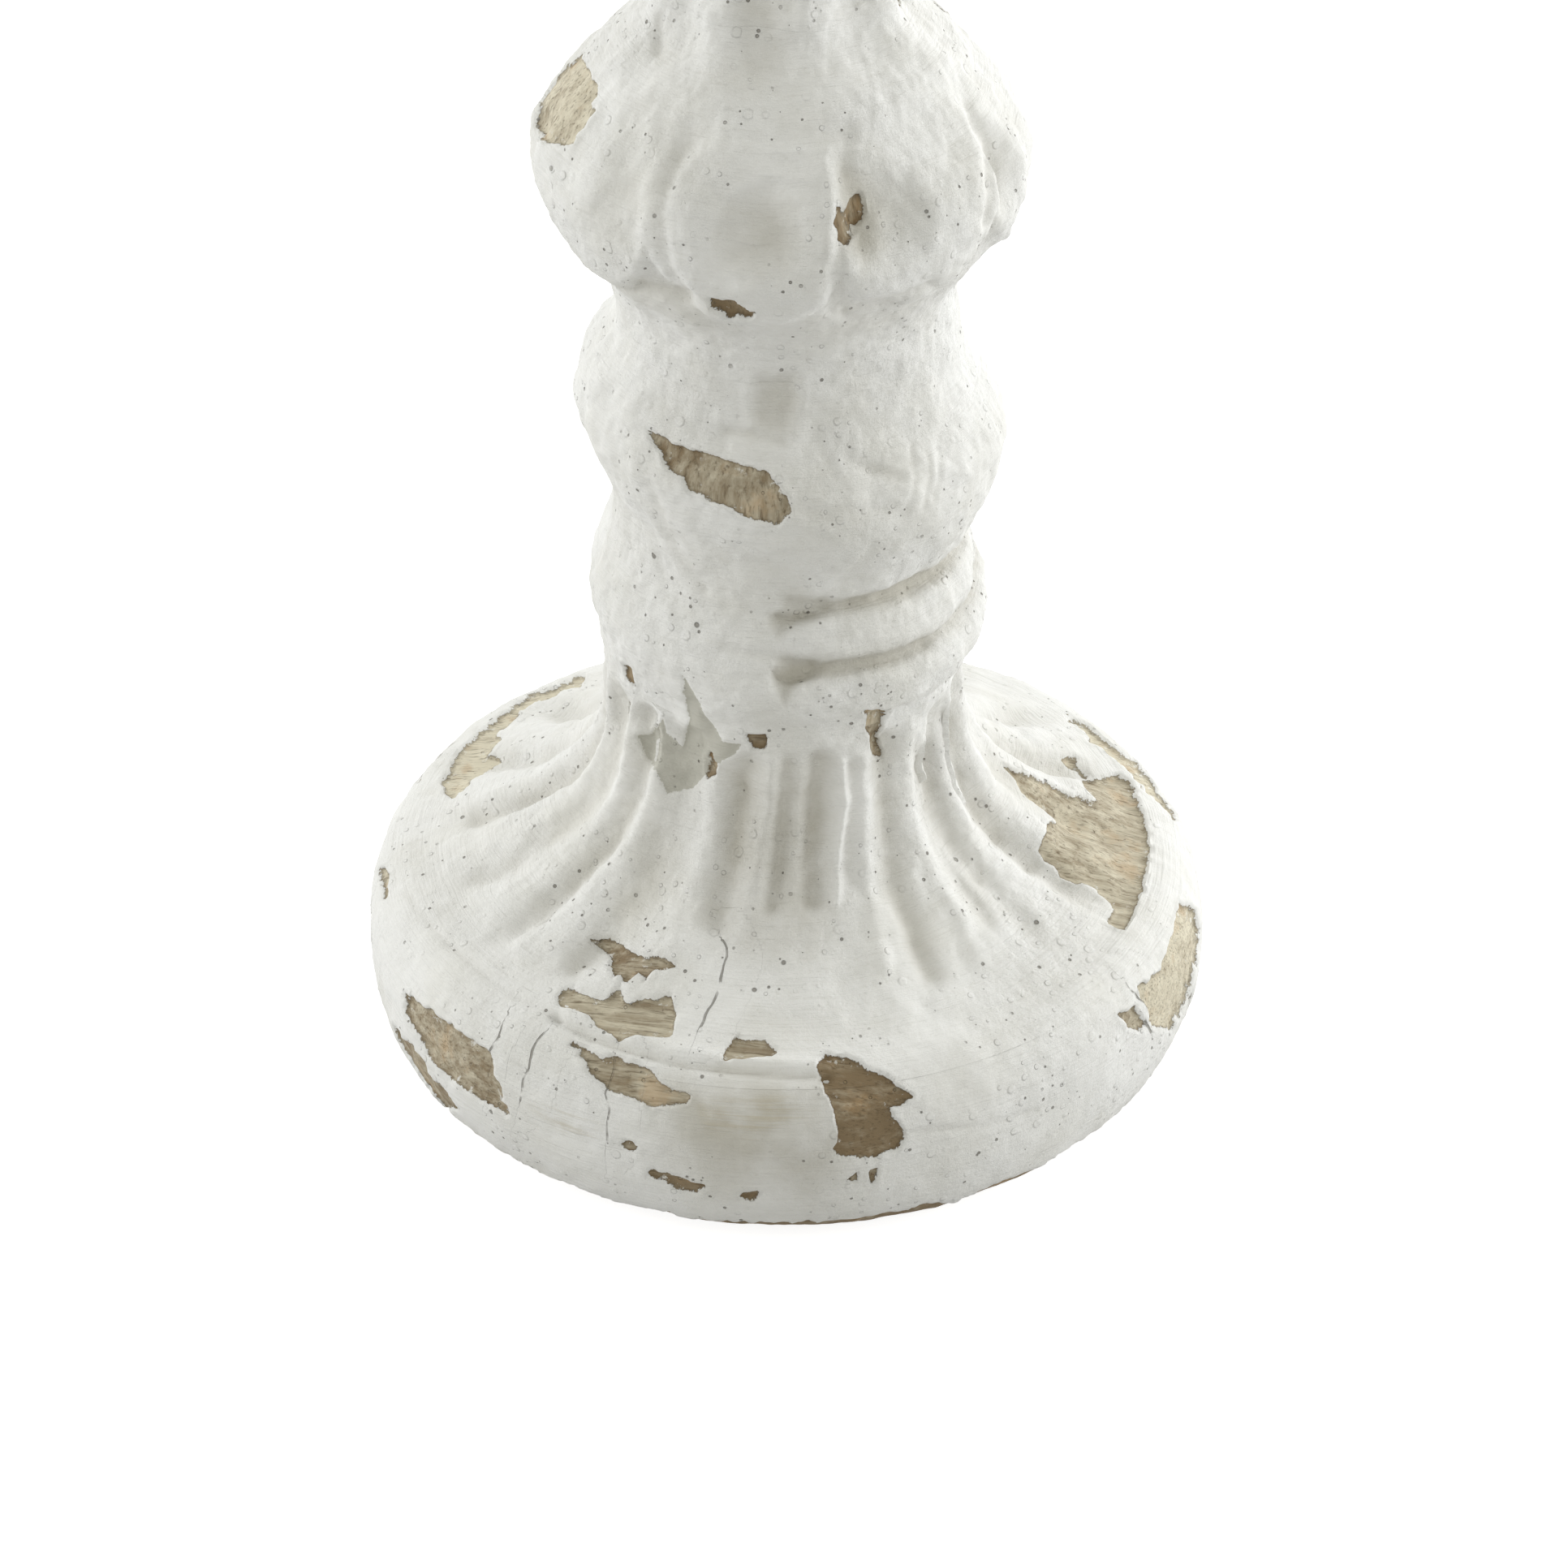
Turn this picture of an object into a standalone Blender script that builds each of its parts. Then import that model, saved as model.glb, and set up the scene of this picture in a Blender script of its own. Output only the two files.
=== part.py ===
"""A turned and carved wooden pillar candlestick, as separate pieces that seat on each other.

Units are metres and +Z is up. The origin is the middle of the resting plane, under the felt pads.
From the floor up: felt pads, plinth, fluted bell, ringed knot, petalled knop, faceted shaft and
candle cup. A coach screw from below holds the base to the stem, dowels join the upper pieces,
and an iron plate with a pricket spike carries the candle.
"""

import math

import bmesh
import bpy

# Fits shared by all the pieces
SEAT_GAP = 0.0003  # left between faces that seat on each other
HOLE_CLEARANCE = 0.0003  # added to the radius of a pin, screw or dowel for its hole
HOLE_END_GAP = 0.0008  # left past the end of a pin, screw or dowel in a blind hole

# Felt pads under the foot
PAD_COUNT = 4
PAD_RADIUS = 0.010
PAD_THICKNESS = 0.0015
PAD_CIRCLE = 0.048
PAD_EDGE = 0.0003

# Plinth: a thick disc with a full, rounded rim
PLINTH_RADIUS = 0.075
FOOT_INSET = 0.0093
PLINTH_LOWER_RISE = 0.017
PLINTH_UPPER_RISE = 0.0165
PLINTH_SQUARENESS = 2.8  # 2 is a round shoulder, more is a boxier one

# Fluted bell that rises from the plinth
BELL_INSET = 0.0125
BELL_LEDGE = 0.0012
BELL_STEP = 0.0014
BELL_RISE = 0.0415
BELL_TOP_RADIUS = 0.0316
BELL_SWEEP = 3.7  # how quickly the bell draws in above the plinth
FLUTE_COUNT = 18
FLUTE_DEPTH = 0.0021
FLUTE_PHASE = math.radians(8)
FLUTE_SLANT = math.radians(8)
FLUTE_FADE = 0.13  # share of the rise over which a flute runs out at each end

# Ringed knot, with two beads that lean together and hand-cut grooves round the front
KNOT_LOWER_RISE = 0.0120
KNOT_LOWER_RADIUS = 0.0346
KNOT_WAIST_RISE = 0.0175
KNOT_WAIST_RADIUS = 0.0307
KNOT_UPPER_RISE = 0.0185
KNOT_UPPER_RADIUS = 0.0364
KNOT_COVE_RISE = 0.0190
KNOT_COVE_RADIUS = 0.0287
KNOT_TILT = 0.0050  # how far the beads dip on their low side
KNOT_LOW_SIDE = math.radians(45)
KNOT_FADE = 0.15  # share of the rise over which the lean and grooves run out at each end
WRAP_WIDTH = 0.0022
WRAP_DEPTH = 0.0016
WRAP_SPACING = 0.0108
WRAP_START = math.radians(-6)
WRAP_ENTRY = math.radians(6)
WRAP_FULL = math.radians(90)  # a groove keeps its depth this far, then dies away
WRAP_SWEEP = math.radians(200)

# Petalled knop
KNOP_COVE_RISE = 0.0075
KNOP_COVE_RADIUS = 0.0302
KNOP_LIP_RISE = 0.0165
KNOP_LIP_RADIUS = 0.0378
KNOP_BELLY_RISE = 0.0145
KNOP_BELLY_RADIUS = 0.0408
KNOP_SHOULDER_RISE = 0.0150
KNOP_SHOULDER_RADIUS = 0.0302
KNOP_NECK_RISE = 0.0125
NECK_RADIUS = 0.0205
PETAL_COUNT = 8
PETAL_PHASE = math.radians(-11.25)
PETAL_RISE = 0.028
PETAL_CORNER = 0.0030  # how deep the ground lies below the petals' rounded lower corners
PETAL_RIDGE = 0.0009  # height of the sharp ridge where two petals meet
PETAL_RIDGE_WIDTH = 0.16  # as a share of half a petal
PETAL_DISH = 0.0030  # depth of the hollow in a petal
PETAL_DISH_WIDTH = 0.72  # reach of the hollow, as a share of half a petal
PETAL_DISH_HEIGHT = 0.62
PETAL_DISH_LIFT = 0.18
PETAL_DISH_LEAN = 0.5  # how far the hollows of the side petals lean towards the front

# Faceted shaft with a collar bead
SHAFT_WAIST_RISE = 0.012
SHAFT_WAIST_RADIUS = 0.0185
SHAFT_SWELL_RISE = 0.050
SHAFT_SWELL_RADIUS = 0.0262
SHAFT_COVE_RISE = 0.010
SHAFT_COVE_RADIUS = 0.0205
COLLAR_RISE = 0.014
COLLAR_RADIUS = 0.0285
COLLAR_TOP_RADIUS = 0.0215
FACET_DEPTH = 0.0018
FACET_FADE = 0.008

# Candle cup with a drip rim and a dished seat
CUP_STEM_RISE = 0.012
CUP_STEM_RADIUS = 0.0235
CUP_FLARE_RISE = 0.026
CUP_RADIUS = 0.057
CUP_RIM_RISE = 0.013
CUP_UNDERCUT = 0.006
RIM_WIDTH = 0.0135
DISH_DEPTH = 0.0085
DISH_SLOPE = 0.0035
CUP_SWEEP = 2.4
CUP_FLUTE_DEPTH = 0.0017
CUP_FLUTE_FADE = 0.2

# Dowels between the upper pieces
DOWEL_RADIUS = 0.006
DOWEL_LENGTH = 0.040
DOWEL_CHAMFER = 0.001

# Coach screw and washer that hold the base to the knot
SCREW_RADIUS = 0.004
SCREW_BITE = 0.026
SCREW_TIP = 0.006
SCREW_TIP_RADIUS = 0.0006
HEAD_SIDES = 6
HEAD_ACROSS_FLATS = 0.013
HEAD_HEIGHT = 0.0053
WASHER_RADIUS = 0.012
WASHER_THICKNESS = 0.002
COUNTERBORE_DEPTH = 0.010
COUNTERBORE_MARGIN = 0.001

# Iron candle plate and pricket spike
PLATE_MARGIN = 0.0012
PLATE_THICKNESS = 0.0012
PLATE_LIP = 0.0030
PLATE_DIMPLE = 0.0004  # depth of the pressed dimple that the spike's flange sits in
PLATE_DIMPLE_MARGIN = 0.001
SPIKE_HEIGHT = 0.026
SPIKE_RADIUS = 0.0042
SPIKE_TIP_RADIUS = 0.0004
SPIKE_FLANGE_RADIUS = 0.0075
SPIKE_FLANGE_THICKNESS = 0.0016
SPIKE_SHANK_RADIUS = 0.0024
SPIKE_SHANK_LENGTH = 0.016
SPIKE_SHANK_TAPER = 0.004

# Mesh fineness
PLAIN_SEGMENTS = 56
HOLE_SEGMENTS = 20
PLATE_SEGMENTS = 40
FLUTE_SEGMENTS = 5
PETAL_SEGMENTS = 8
FACET_SEGMENTS = 4
CUP_FLUTE_SEGMENTS = 4
KNOT_SEGMENTS = 52
KNOT_ROWS = 5
RIM_ROWS = 2
SHARP_ANGLE = math.radians(50)

# Heights worked out from the sizes above
plinth_z = PAD_THICKNESS + SEAT_GAP
plinth_top = plinth_z + PLINTH_LOWER_RISE + PLINTH_UPPER_RISE
bell_z = plinth_top + SEAT_GAP
bell_rise = BELL_STEP + BELL_RISE
knot_z = bell_z + bell_rise + SEAT_GAP
knot_rise = KNOT_LOWER_RISE + KNOT_WAIST_RISE + KNOT_UPPER_RISE + KNOT_COVE_RISE
knop_z = knot_z + knot_rise + SEAT_GAP
knop_rise = KNOP_LIP_RISE + KNOP_BELLY_RISE + KNOP_SHOULDER_RISE + KNOP_NECK_RISE
shaft_z = knop_z + knop_rise + SEAT_GAP
shaft_rise = SHAFT_WAIST_RISE + SHAFT_SWELL_RISE + SHAFT_COVE_RISE + COLLAR_RISE
cup_z = shaft_z + shaft_rise + SEAT_GAP
cup_rise = CUP_STEM_RISE + CUP_FLARE_RISE + CUP_RIM_RISE
dish_floor_z = cup_z + cup_rise - DISH_DEPTH
bell_radius = PLINTH_RADIUS - BELL_INSET
dish_radius = CUP_RADIUS - RIM_WIDTH
plate_z = dish_floor_z + SEAT_GAP
head_z = plinth_z + COUNTERBORE_DEPTH - SEAT_GAP - WASHER_THICKNESS - SEAT_GAP - HEAD_HEIGHT
washer_z = head_z + HEAD_HEIGHT + SEAT_GAP


def smoothstep(low, high, value):
    """0 at low and 1 at high, with a soft change between them and no change past either."""
    share = min(1.0, max(0.0, (value - low) / (high - low)))
    return share * share * (3 - 2 * share)


def blend(before, start, end, after, t):
    """A value between start (t = 0) and end (t = 1) that also heeds its neighbours' slope."""
    linear = end - before
    square = 2 * before - 5 * start + 4 * end - after
    cube = 3 * start - before - 3 * end + after
    return 0.5 * (2 * start + linear * t + square * t**2 + cube * t**3)


def sweep(wide, narrow, rise, power, rows):
    """A concave outline from the wide radius at height 0 to the narrow radius at the given rise."""
    shares = [row / rows for row in range(rows + 1)]
    return [(narrow + (wide - narrow) * (1 - share) ** power, rise * share) for share in shares]


def curve_through(points, steps):
    """Points on a smooth curve through (radius, height) points, running straight up at both ends."""
    first = (points[1][0], 2 * points[0][1] - points[1][1])
    last = (points[-2][0], 2 * points[-1][1] - points[-2][1])
    knots = [first, *points, last]
    found = []
    for before, start, end, after in zip(knots, knots[1:], knots[2:], knots[3:]):
        for step in range(steps):
            found.append(
                tuple(blend(*four, step / steps) for four in zip(before, start, end, after))
            )
    return [*found, points[-1]]


def quarter(start, corner, end, steps, power=2.0):
    """A quarter of a superellipse from start to end that bulges towards corner, ends included."""
    found = []
    for step in range(steps + 1):
        angle = 0.5 * math.pi * step / steps
        along = math.sin(angle) ** (2 / power)
        back = 1 - math.cos(angle) ** (2 / power)
        found.append(
            tuple(s + (c - s) * along + (e - c) * back for s, c, e in zip(start, corner, end))
        )
    return found


def lifted(outline, height):
    return [(radius, z + height) for radius, z in outline]


def radius_at(outline, height):
    """The radius of a single-valued outline at a height."""
    for (low_r, low_z), (high_r, high_z) in zip(outline, outline[1:]):
        if height <= high_z:
            share = max(0.0, (height - low_z) / (high_z - low_z))
            return low_r + (high_r - low_r) * share
    return outline[-1][0]


def outward(outline, index):
    """The outline's outward direction at one point. The two ends point straight out."""
    if index in (0, len(outline) - 1):
        return 1.0, 0.0
    (r0, z0), (r1, z1) = outline[index - 1], outline[index + 1]
    length = math.hypot(r1 - r0, z1 - z0)
    return (z1 - z0) / length, -(r1 - r0) / length


def make_material(name, colour, roughness, metallic=0.0):
    material = bpy.data.materials.new(name)
    material.use_nodes = True
    shader = material.node_tree.nodes["Principled BSDF"]
    shader.inputs["Base Color"].default_value = (*colour, 1.0)
    shader.inputs["Roughness"].default_value = roughness
    shader.inputs["Metallic"].default_value = metallic
    return material


def turned(name, outline, segments, material, carve=None, place=(0.0, 0.0)):
    """A solid turned from an outline that runs up its outer side, with flat ends.

    carve(angle, height) pushes the side out along its own normal, or in where it is negative.
    """
    mesh = bpy.data.meshes.new(name)
    work = bmesh.new()
    rings = []
    for index, (radius, height) in enumerate(outline):
        out_r, out_z = outward(outline, index)
        ring = []
        for segment in range(segments):
            angle = 2 * math.pi * segment / segments
            push = carve(angle, height) if carve else 0.0
            reach = radius + push * out_r
            ring.append(
                work.verts.new((reach * math.sin(angle), -reach * math.cos(angle), height + push * out_z))
            )
        rings.append(ring)
    for lower, upper in zip(rings, rings[1:]):
        for segment in range(segments):
            after = (segment + 1) % segments
            work.faces.new((lower[segment], lower[after], upper[after], upper[segment]))
    work.faces.new(reversed(rings[0]))
    work.faces.new(rings[-1])
    work.normal_update()
    work.to_mesh(mesh)
    work.free()
    mesh.materials.append(material)
    mesh.shade_smooth()
    mesh.set_sharp_from_angle(angle=SHARP_ANGLE)
    piece = bpy.data.objects.new(name, mesh)
    piece.location = (*place, 0.0)
    bpy.context.scene.collection.objects.link(piece)
    return piece


def combine(piece, tool, operation):
    """Cuts a tool shape out of a piece or joins it on, and hides the tool."""
    tool.hide_render = True
    tool.display_type = "WIRE"
    change = piece.modifiers.new(tool.name, "BOOLEAN")
    change.operation = operation
    change.object = tool


def drill(piece, name, radius, low, high):
    """Cuts a round hole on the axis between two heights."""
    hole = turned(name, [(radius, low), (radius, high)], HOLE_SEGMENTS, piece.data.materials[0])
    combine(piece, hole, "DIFFERENCE")


def ends_fade(share, length):
    """0 at both ends of a run from 0 to 1, and 1 past the given length from either end."""
    return smoothstep(0.0, length, share) * smoothstep(0.0, length, 1 - share)


def angle_from(angle, start):
    """How far angle lies past start, from 0 to a full turn."""
    return (angle - start) % (2 * math.pi)


def within_part(angle, count, phase):
    """Where an angle falls in its own one of count equal parts: -1 to 1, with 0 at the part's middle."""
    part = 2 * math.pi / count
    return 2 * (((angle - phase + part / 2) % part) / part) - 1


def facet_depth(angle):
    """Concave facets of the neck and shaft, one over each petal."""
    across = within_part(angle, PETAL_COUNT, PETAL_PHASE)
    return FACET_DEPTH * (1 - across * across)


def make_pads(material):
    outline = [
        (PAD_RADIUS - PAD_EDGE, 0.0),
        (PAD_RADIUS, PAD_EDGE),
        (PAD_RADIUS, PAD_THICKNESS - PAD_EDGE),
        (PAD_RADIUS - PAD_EDGE, PAD_THICKNESS),
    ]
    for number in range(PAD_COUNT):
        angle = 2 * math.pi * (number + 0.5) / PAD_COUNT
        place = (PAD_CIRCLE * math.cos(angle), PAD_CIRCLE * math.sin(angle))
        turned(f"felt_pad_{number + 1}", outline, HOLE_SEGMENTS, material, place=place)


def make_plinth(material):
    foot = (PLINTH_RADIUS - FOOT_INSET, plinth_z)
    widest = (PLINTH_RADIUS, plinth_z + PLINTH_LOWER_RISE)
    top = (bell_radius + BELL_LEDGE, plinth_top)
    lower = quarter(foot, (PLINTH_RADIUS, foot[1]), widest, 6)
    upper = quarter(widest, (PLINTH_RADIUS, plinth_top), top, 6, PLINTH_SQUARENESS)
    plinth = turned("base_plinth", lower + upper[1:], PLAIN_SEGMENTS, material)
    counterbore_top = plinth_z + COUNTERBORE_DEPTH
    shank_hole = SCREW_RADIUS + HOLE_CLEARANCE
    drill(plinth, "plinth_counterbore", WASHER_RADIUS + COUNTERBORE_MARGIN, 0.0, counterbore_top)
    drill(plinth, "plinth_screw_hole", shank_hole, plinth_z, bell_z)


def bell_outline(rows):
    """A short upright step, then the concave sweep of the bell."""
    slope = sweep(bell_radius, BELL_TOP_RADIUS, BELL_RISE, BELL_SWEEP, rows)
    return [(bell_radius, bell_z), *lifted(slope, bell_z + BELL_STEP)]


def bell_carve(angle, height):
    """Flutes that lean a little, fade out towards the step and stop short of the top."""
    share = (height - bell_z - BELL_STEP) / BELL_RISE
    across = within_part(angle - FLUTE_SLANT * share, FLUTE_COUNT, FLUTE_PHASE)
    groove = 0.5 + 0.5 * math.cos(math.pi * across)
    return -FLUTE_DEPTH * groove * ends_fade(share, FLUTE_FADE)


def make_bell(material):
    bell = turned("base_bell", bell_outline(10), FLUTE_COUNT * FLUTE_SEGMENTS, material, bell_carve)
    drill(bell, "bell_screw_hole", SCREW_RADIUS + HOLE_CLEARANCE, plinth_z, knot_z + SCREW_BITE)


def knot_outline(steps):
    heights = [0.0, KNOT_LOWER_RISE, KNOT_WAIST_RISE, KNOT_UPPER_RISE, KNOT_COVE_RISE]
    radii = [
        BELL_TOP_RADIUS,
        KNOT_LOWER_RADIUS,
        KNOT_WAIST_RADIUS,
        KNOT_UPPER_RADIUS,
        KNOT_COVE_RADIUS,
    ]
    points = [(radius, knot_z + sum(heights[: i + 1])) for i, radius in enumerate(radii)]
    return curve_through(points, steps)


def wrap_groove(angle, distance):
    """A hand-cut groove that starts at the front, runs round to one side and dies away."""
    gone = angle_from(angle, WRAP_START)
    strength = smoothstep(0.0, WRAP_ENTRY, gone) * smoothstep(WRAP_SWEEP, WRAP_FULL, gone)
    return WRAP_DEPTH * strength * math.exp(-((distance / WRAP_WIDTH) ** 2))


def knot_carve(angle, height):
    fade = ends_fade((height - knot_z) / knot_rise, KNOT_FADE)
    outline = knot_outline(KNOT_ROWS)
    leaning = height + KNOT_TILT * fade * math.cos(angle - KNOT_LOW_SIDE)
    lean = radius_at(outline, leaning) - radius_at(outline, height)
    above_waist = leaning - knot_z - KNOT_LOWER_RISE - KNOT_WAIST_RISE
    grooves = wrap_groove(angle, above_waist) + wrap_groove(angle, above_waist + WRAP_SPACING)
    return lean - fade * grooves


def make_knot(material):
    knot = turned("stem_knot", knot_outline(KNOT_ROWS), KNOT_SEGMENTS, material, knot_carve)
    pilot_top = knot_z + SCREW_BITE + HOLE_END_GAP
    drill(knot, "knot_screw_hole", SCREW_RADIUS + HOLE_CLEARANCE, bell_z, pilot_top)
    drill_for_dowel(knot, "knot_dowel_hole", knop_z - SEAT_GAP, -1)


def knop_outline(steps):
    points = [
        (KNOT_COVE_RADIUS, 0.0),
        (KNOP_COVE_RADIUS, KNOP_COVE_RISE),
        (KNOP_LIP_RADIUS, KNOP_LIP_RISE),
        (KNOP_BELLY_RADIUS, KNOP_LIP_RISE + KNOP_BELLY_RISE),
        (KNOP_SHOULDER_RADIUS, KNOP_LIP_RISE + KNOP_BELLY_RISE + KNOP_SHOULDER_RISE),
        (NECK_RADIUS, knop_rise),
    ]
    return lifted(curve_through(points, steps), knop_z)


def petal_dish(angle, across, up):
    """The hollow in a petal, 0 to 1. On the side petals it lies nearer the front."""
    petal_middle = angle - across * math.pi / PETAL_COUNT
    aside = across + PETAL_DISH_LEAN * math.sin(petal_middle)
    reach = math.hypot(aside / PETAL_DISH_WIDTH, (up - PETAL_DISH_LIFT) / PETAL_DISH_HEIGHT)
    return smoothstep(1.1, 0.25, reach)


def knop_carve(angle, height):
    """Scalloped petals with a hollow in each, that meet in ridges above and in notches at the hem below."""
    above = height - knop_z
    up = 2 * (above - KNOP_LIP_RISE) / PETAL_RISE - 1
    across = within_part(angle, PETAL_COUNT, PETAL_PHASE)
    reach = math.hypot(across, min(up, 0.0))
    ground = smoothstep(0.95, 1.2, reach) * smoothstep(0.0, KNOP_LIP_RISE, above)
    on_belly = smoothstep(-0.1, 0.25, up) * smoothstep(1.1, 0.7, up)
    ridge = math.exp((abs(across) - 1) / PETAL_RIDGE_WIDTH) * on_belly
    dish = petal_dish(angle, across, up)
    neck = smoothstep(knop_rise - KNOP_NECK_RISE, knop_rise, above)
    return PETAL_RIDGE * ridge - PETAL_CORNER * ground - PETAL_DISH * dish - neck * facet_depth(angle)


def make_knop(material):
    knop = turned("stem_knop", knop_outline(5), PETAL_COUNT * PETAL_SEGMENTS, material, knop_carve)
    drill_for_dowel(knop, "knop_lower_hole", knop_z, 1)
    drill_for_dowel(knop, "knop_upper_hole", shaft_z - SEAT_GAP, -1)


def shaft_outline(steps):
    swell_height = SHAFT_WAIST_RISE + SHAFT_SWELL_RISE
    cove_height = swell_height + SHAFT_COVE_RISE
    points = [
        (NECK_RADIUS, 0.0),
        (SHAFT_WAIST_RADIUS, SHAFT_WAIST_RISE),
        (SHAFT_SWELL_RADIUS, swell_height),
        (SHAFT_COVE_RADIUS, cove_height),
    ]
    collar = [
        (SHAFT_COVE_RADIUS, cove_height),
        (COLLAR_RADIUS, cove_height + COLLAR_RISE / 2),
        (COLLAR_TOP_RADIUS, shaft_rise),
    ]
    return lifted(curve_through(points, steps) + curve_through(collar, steps)[1:], shaft_z)


def shaft_carve(angle, height):
    facets_end = SHAFT_WAIST_RISE + SHAFT_SWELL_RISE
    return -facet_depth(angle) * smoothstep(facets_end, facets_end - FACET_FADE, height - shaft_z)


def make_shaft(material):
    shaft = turned("stem_shaft", shaft_outline(3), PETAL_COUNT * FACET_SEGMENTS, material, shaft_carve)
    drill_for_dowel(shaft, "shaft_lower_hole", shaft_z, 1)
    drill_for_dowel(shaft, "shaft_upper_hole", cup_z - SEAT_GAP, -1)


def cup_outline(rows):
    """Up the flared outside, over the rounded rim and down to the dish floor."""
    rim_low = CUP_STEM_RISE + CUP_FLARE_RISE
    flare_radius = CUP_RADIUS - CUP_UNDERCUT
    flare = sweep(flare_radius, CUP_STEM_RADIUS, CUP_FLARE_RISE, CUP_SWEEP, rows)
    stem = (COLLAR_TOP_RADIUS, 0.0)
    outside = [stem, *((radius, rim_low - depth) for radius, depth in reversed(flare))]
    middle = rim_low + CUP_RIM_RISE / 2
    crown = CUP_RADIUS - RIM_WIDTH / 2
    lower = quarter(outside[-1], (CUP_RADIUS, rim_low), (CUP_RADIUS, middle), RIM_ROWS)
    upper = quarter((CUP_RADIUS, middle), (CUP_RADIUS, cup_rise), (crown, cup_rise), RIM_ROWS)
    inner = quarter((crown, cup_rise), (dish_radius, cup_rise), (dish_radius, middle), RIM_ROWS)
    floor = (dish_radius - DISH_SLOPE, cup_rise - DISH_DEPTH)
    return lifted(outside + lower[1:] + upper[1:] + inner[1:] + [floor], cup_z)


def cup_carve(angle, height):
    """Flutes under the flare that echo those of the bell."""
    share = (height - cup_z - CUP_STEM_RISE) / CUP_FLARE_RISE
    across = within_part(angle, FLUTE_COUNT, FLUTE_PHASE)
    return -CUP_FLUTE_DEPTH * (0.5 + 0.5 * math.cos(math.pi * across)) * ends_fade(share, CUP_FLUTE_FADE)


def make_cup(material):
    cup = turned("candle_cup", cup_outline(7), FLUTE_COUNT * CUP_FLUTE_SEGMENTS, material, cup_carve)
    shank_low = plate_z - SPIKE_SHANK_LENGTH - HOLE_END_GAP
    drill_for_dowel(cup, "cup_dowel_hole", cup_z, 1)
    drill(cup, "cup_spike_hole", SPIKE_SHANK_RADIUS + HOLE_CLEARANCE, shank_low, cup_z + cup_rise)


def drill_for_dowel(piece, name, face, direction):
    """A blind hole for half a dowel, from a flat end into the piece (1 is up, -1 is down)."""
    deep = face + direction * (DOWEL_LENGTH / 2 + HOLE_END_GAP)
    outside = face - direction * DOWEL_LENGTH / 2
    drill(piece, name, DOWEL_RADIUS + HOLE_CLEARANCE, min(deep, outside), max(deep, outside))


def make_dowel(name, joint_z, material):
    half = DOWEL_LENGTH / 2
    outline = [
        (DOWEL_RADIUS - DOWEL_CHAMFER, joint_z - half),
        (DOWEL_RADIUS, joint_z - half + DOWEL_CHAMFER),
        (DOWEL_RADIUS, joint_z + half - DOWEL_CHAMFER),
        (DOWEL_RADIUS - DOWEL_CHAMFER, joint_z + half),
    ]
    turned(name, outline, HOLE_SEGMENTS, material)


def make_base_screw(material):
    """A hexagon-headed coach screw, head down in the counterbore."""
    head_top = head_z + HEAD_HEIGHT
    tip = knot_z + SCREW_BITE
    corner = HEAD_ACROSS_FLATS / math.sqrt(3)
    shank = [
        (SCREW_RADIUS, head_z + HEAD_HEIGHT / 2),
        (SCREW_RADIUS, tip - SCREW_TIP),
        (SCREW_TIP_RADIUS, tip),
    ]
    screw = turned("base_screw", [(corner, head_z), (corner, head_top)], HEAD_SIDES, material)
    combine(screw, turned("base_screw_shank", shank, HOLE_SEGMENTS, material), "UNION")


def make_washer(material):
    outline = [(WASHER_RADIUS, washer_z), (WASHER_RADIUS, washer_z + WASHER_THICKNESS)]
    washer = turned("base_washer", outline, HOLE_SEGMENTS, material)
    drill(washer, "washer_hole", SCREW_RADIUS + HOLE_CLEARANCE, plinth_z, plinth_top)


def make_plate(material):
    """A pressed iron dish with an upturned lip and a shallow dimple for the spike."""
    edge = dish_radius - DISH_SLOPE - PLATE_MARGIN
    dimple = SPIKE_FLANGE_RADIUS + PLATE_DIMPLE_MARGIN
    outline = [
        (edge - PLATE_LIP, plate_z),
        (edge, plate_z + PLATE_LIP),
        (edge - PLATE_THICKNESS, plate_z + PLATE_LIP),
        (edge - PLATE_LIP - PLATE_THICKNESS / 2, plate_z + PLATE_THICKNESS),
        (dimple + PLATE_DIMPLE, plate_z + PLATE_THICKNESS),
        (dimple, plate_z + PLATE_THICKNESS - PLATE_DIMPLE),
    ]
    plate = turned("candle_plate", outline, PLATE_SEGMENTS, material)
    drill(plate, "plate_hole", SPIKE_SHANK_RADIUS + HOLE_CLEARANCE, dish_floor_z, cup_z + cup_rise)


def make_spike(material):
    seat = plate_z + PLATE_THICKNESS - PLATE_DIMPLE + SEAT_GAP
    flange_top = seat + SPIKE_FLANGE_THICKNESS
    outline = [
        (SPIKE_TIP_RADIUS, plate_z - SPIKE_SHANK_LENGTH),
        (SPIKE_SHANK_RADIUS, plate_z - SPIKE_SHANK_LENGTH + SPIKE_SHANK_TAPER),
        (SPIKE_SHANK_RADIUS, seat),
        (SPIKE_FLANGE_RADIUS, seat),
        (SPIKE_FLANGE_RADIUS, seat + SPIKE_FLANGE_THICKNESS / 2),
        (SPIKE_RADIUS, flange_top),
        (SPIKE_TIP_RADIUS, flange_top + SPIKE_HEIGHT),
    ]
    turned("pricket_spike", outline, HOLE_SEGMENTS, material)


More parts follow.
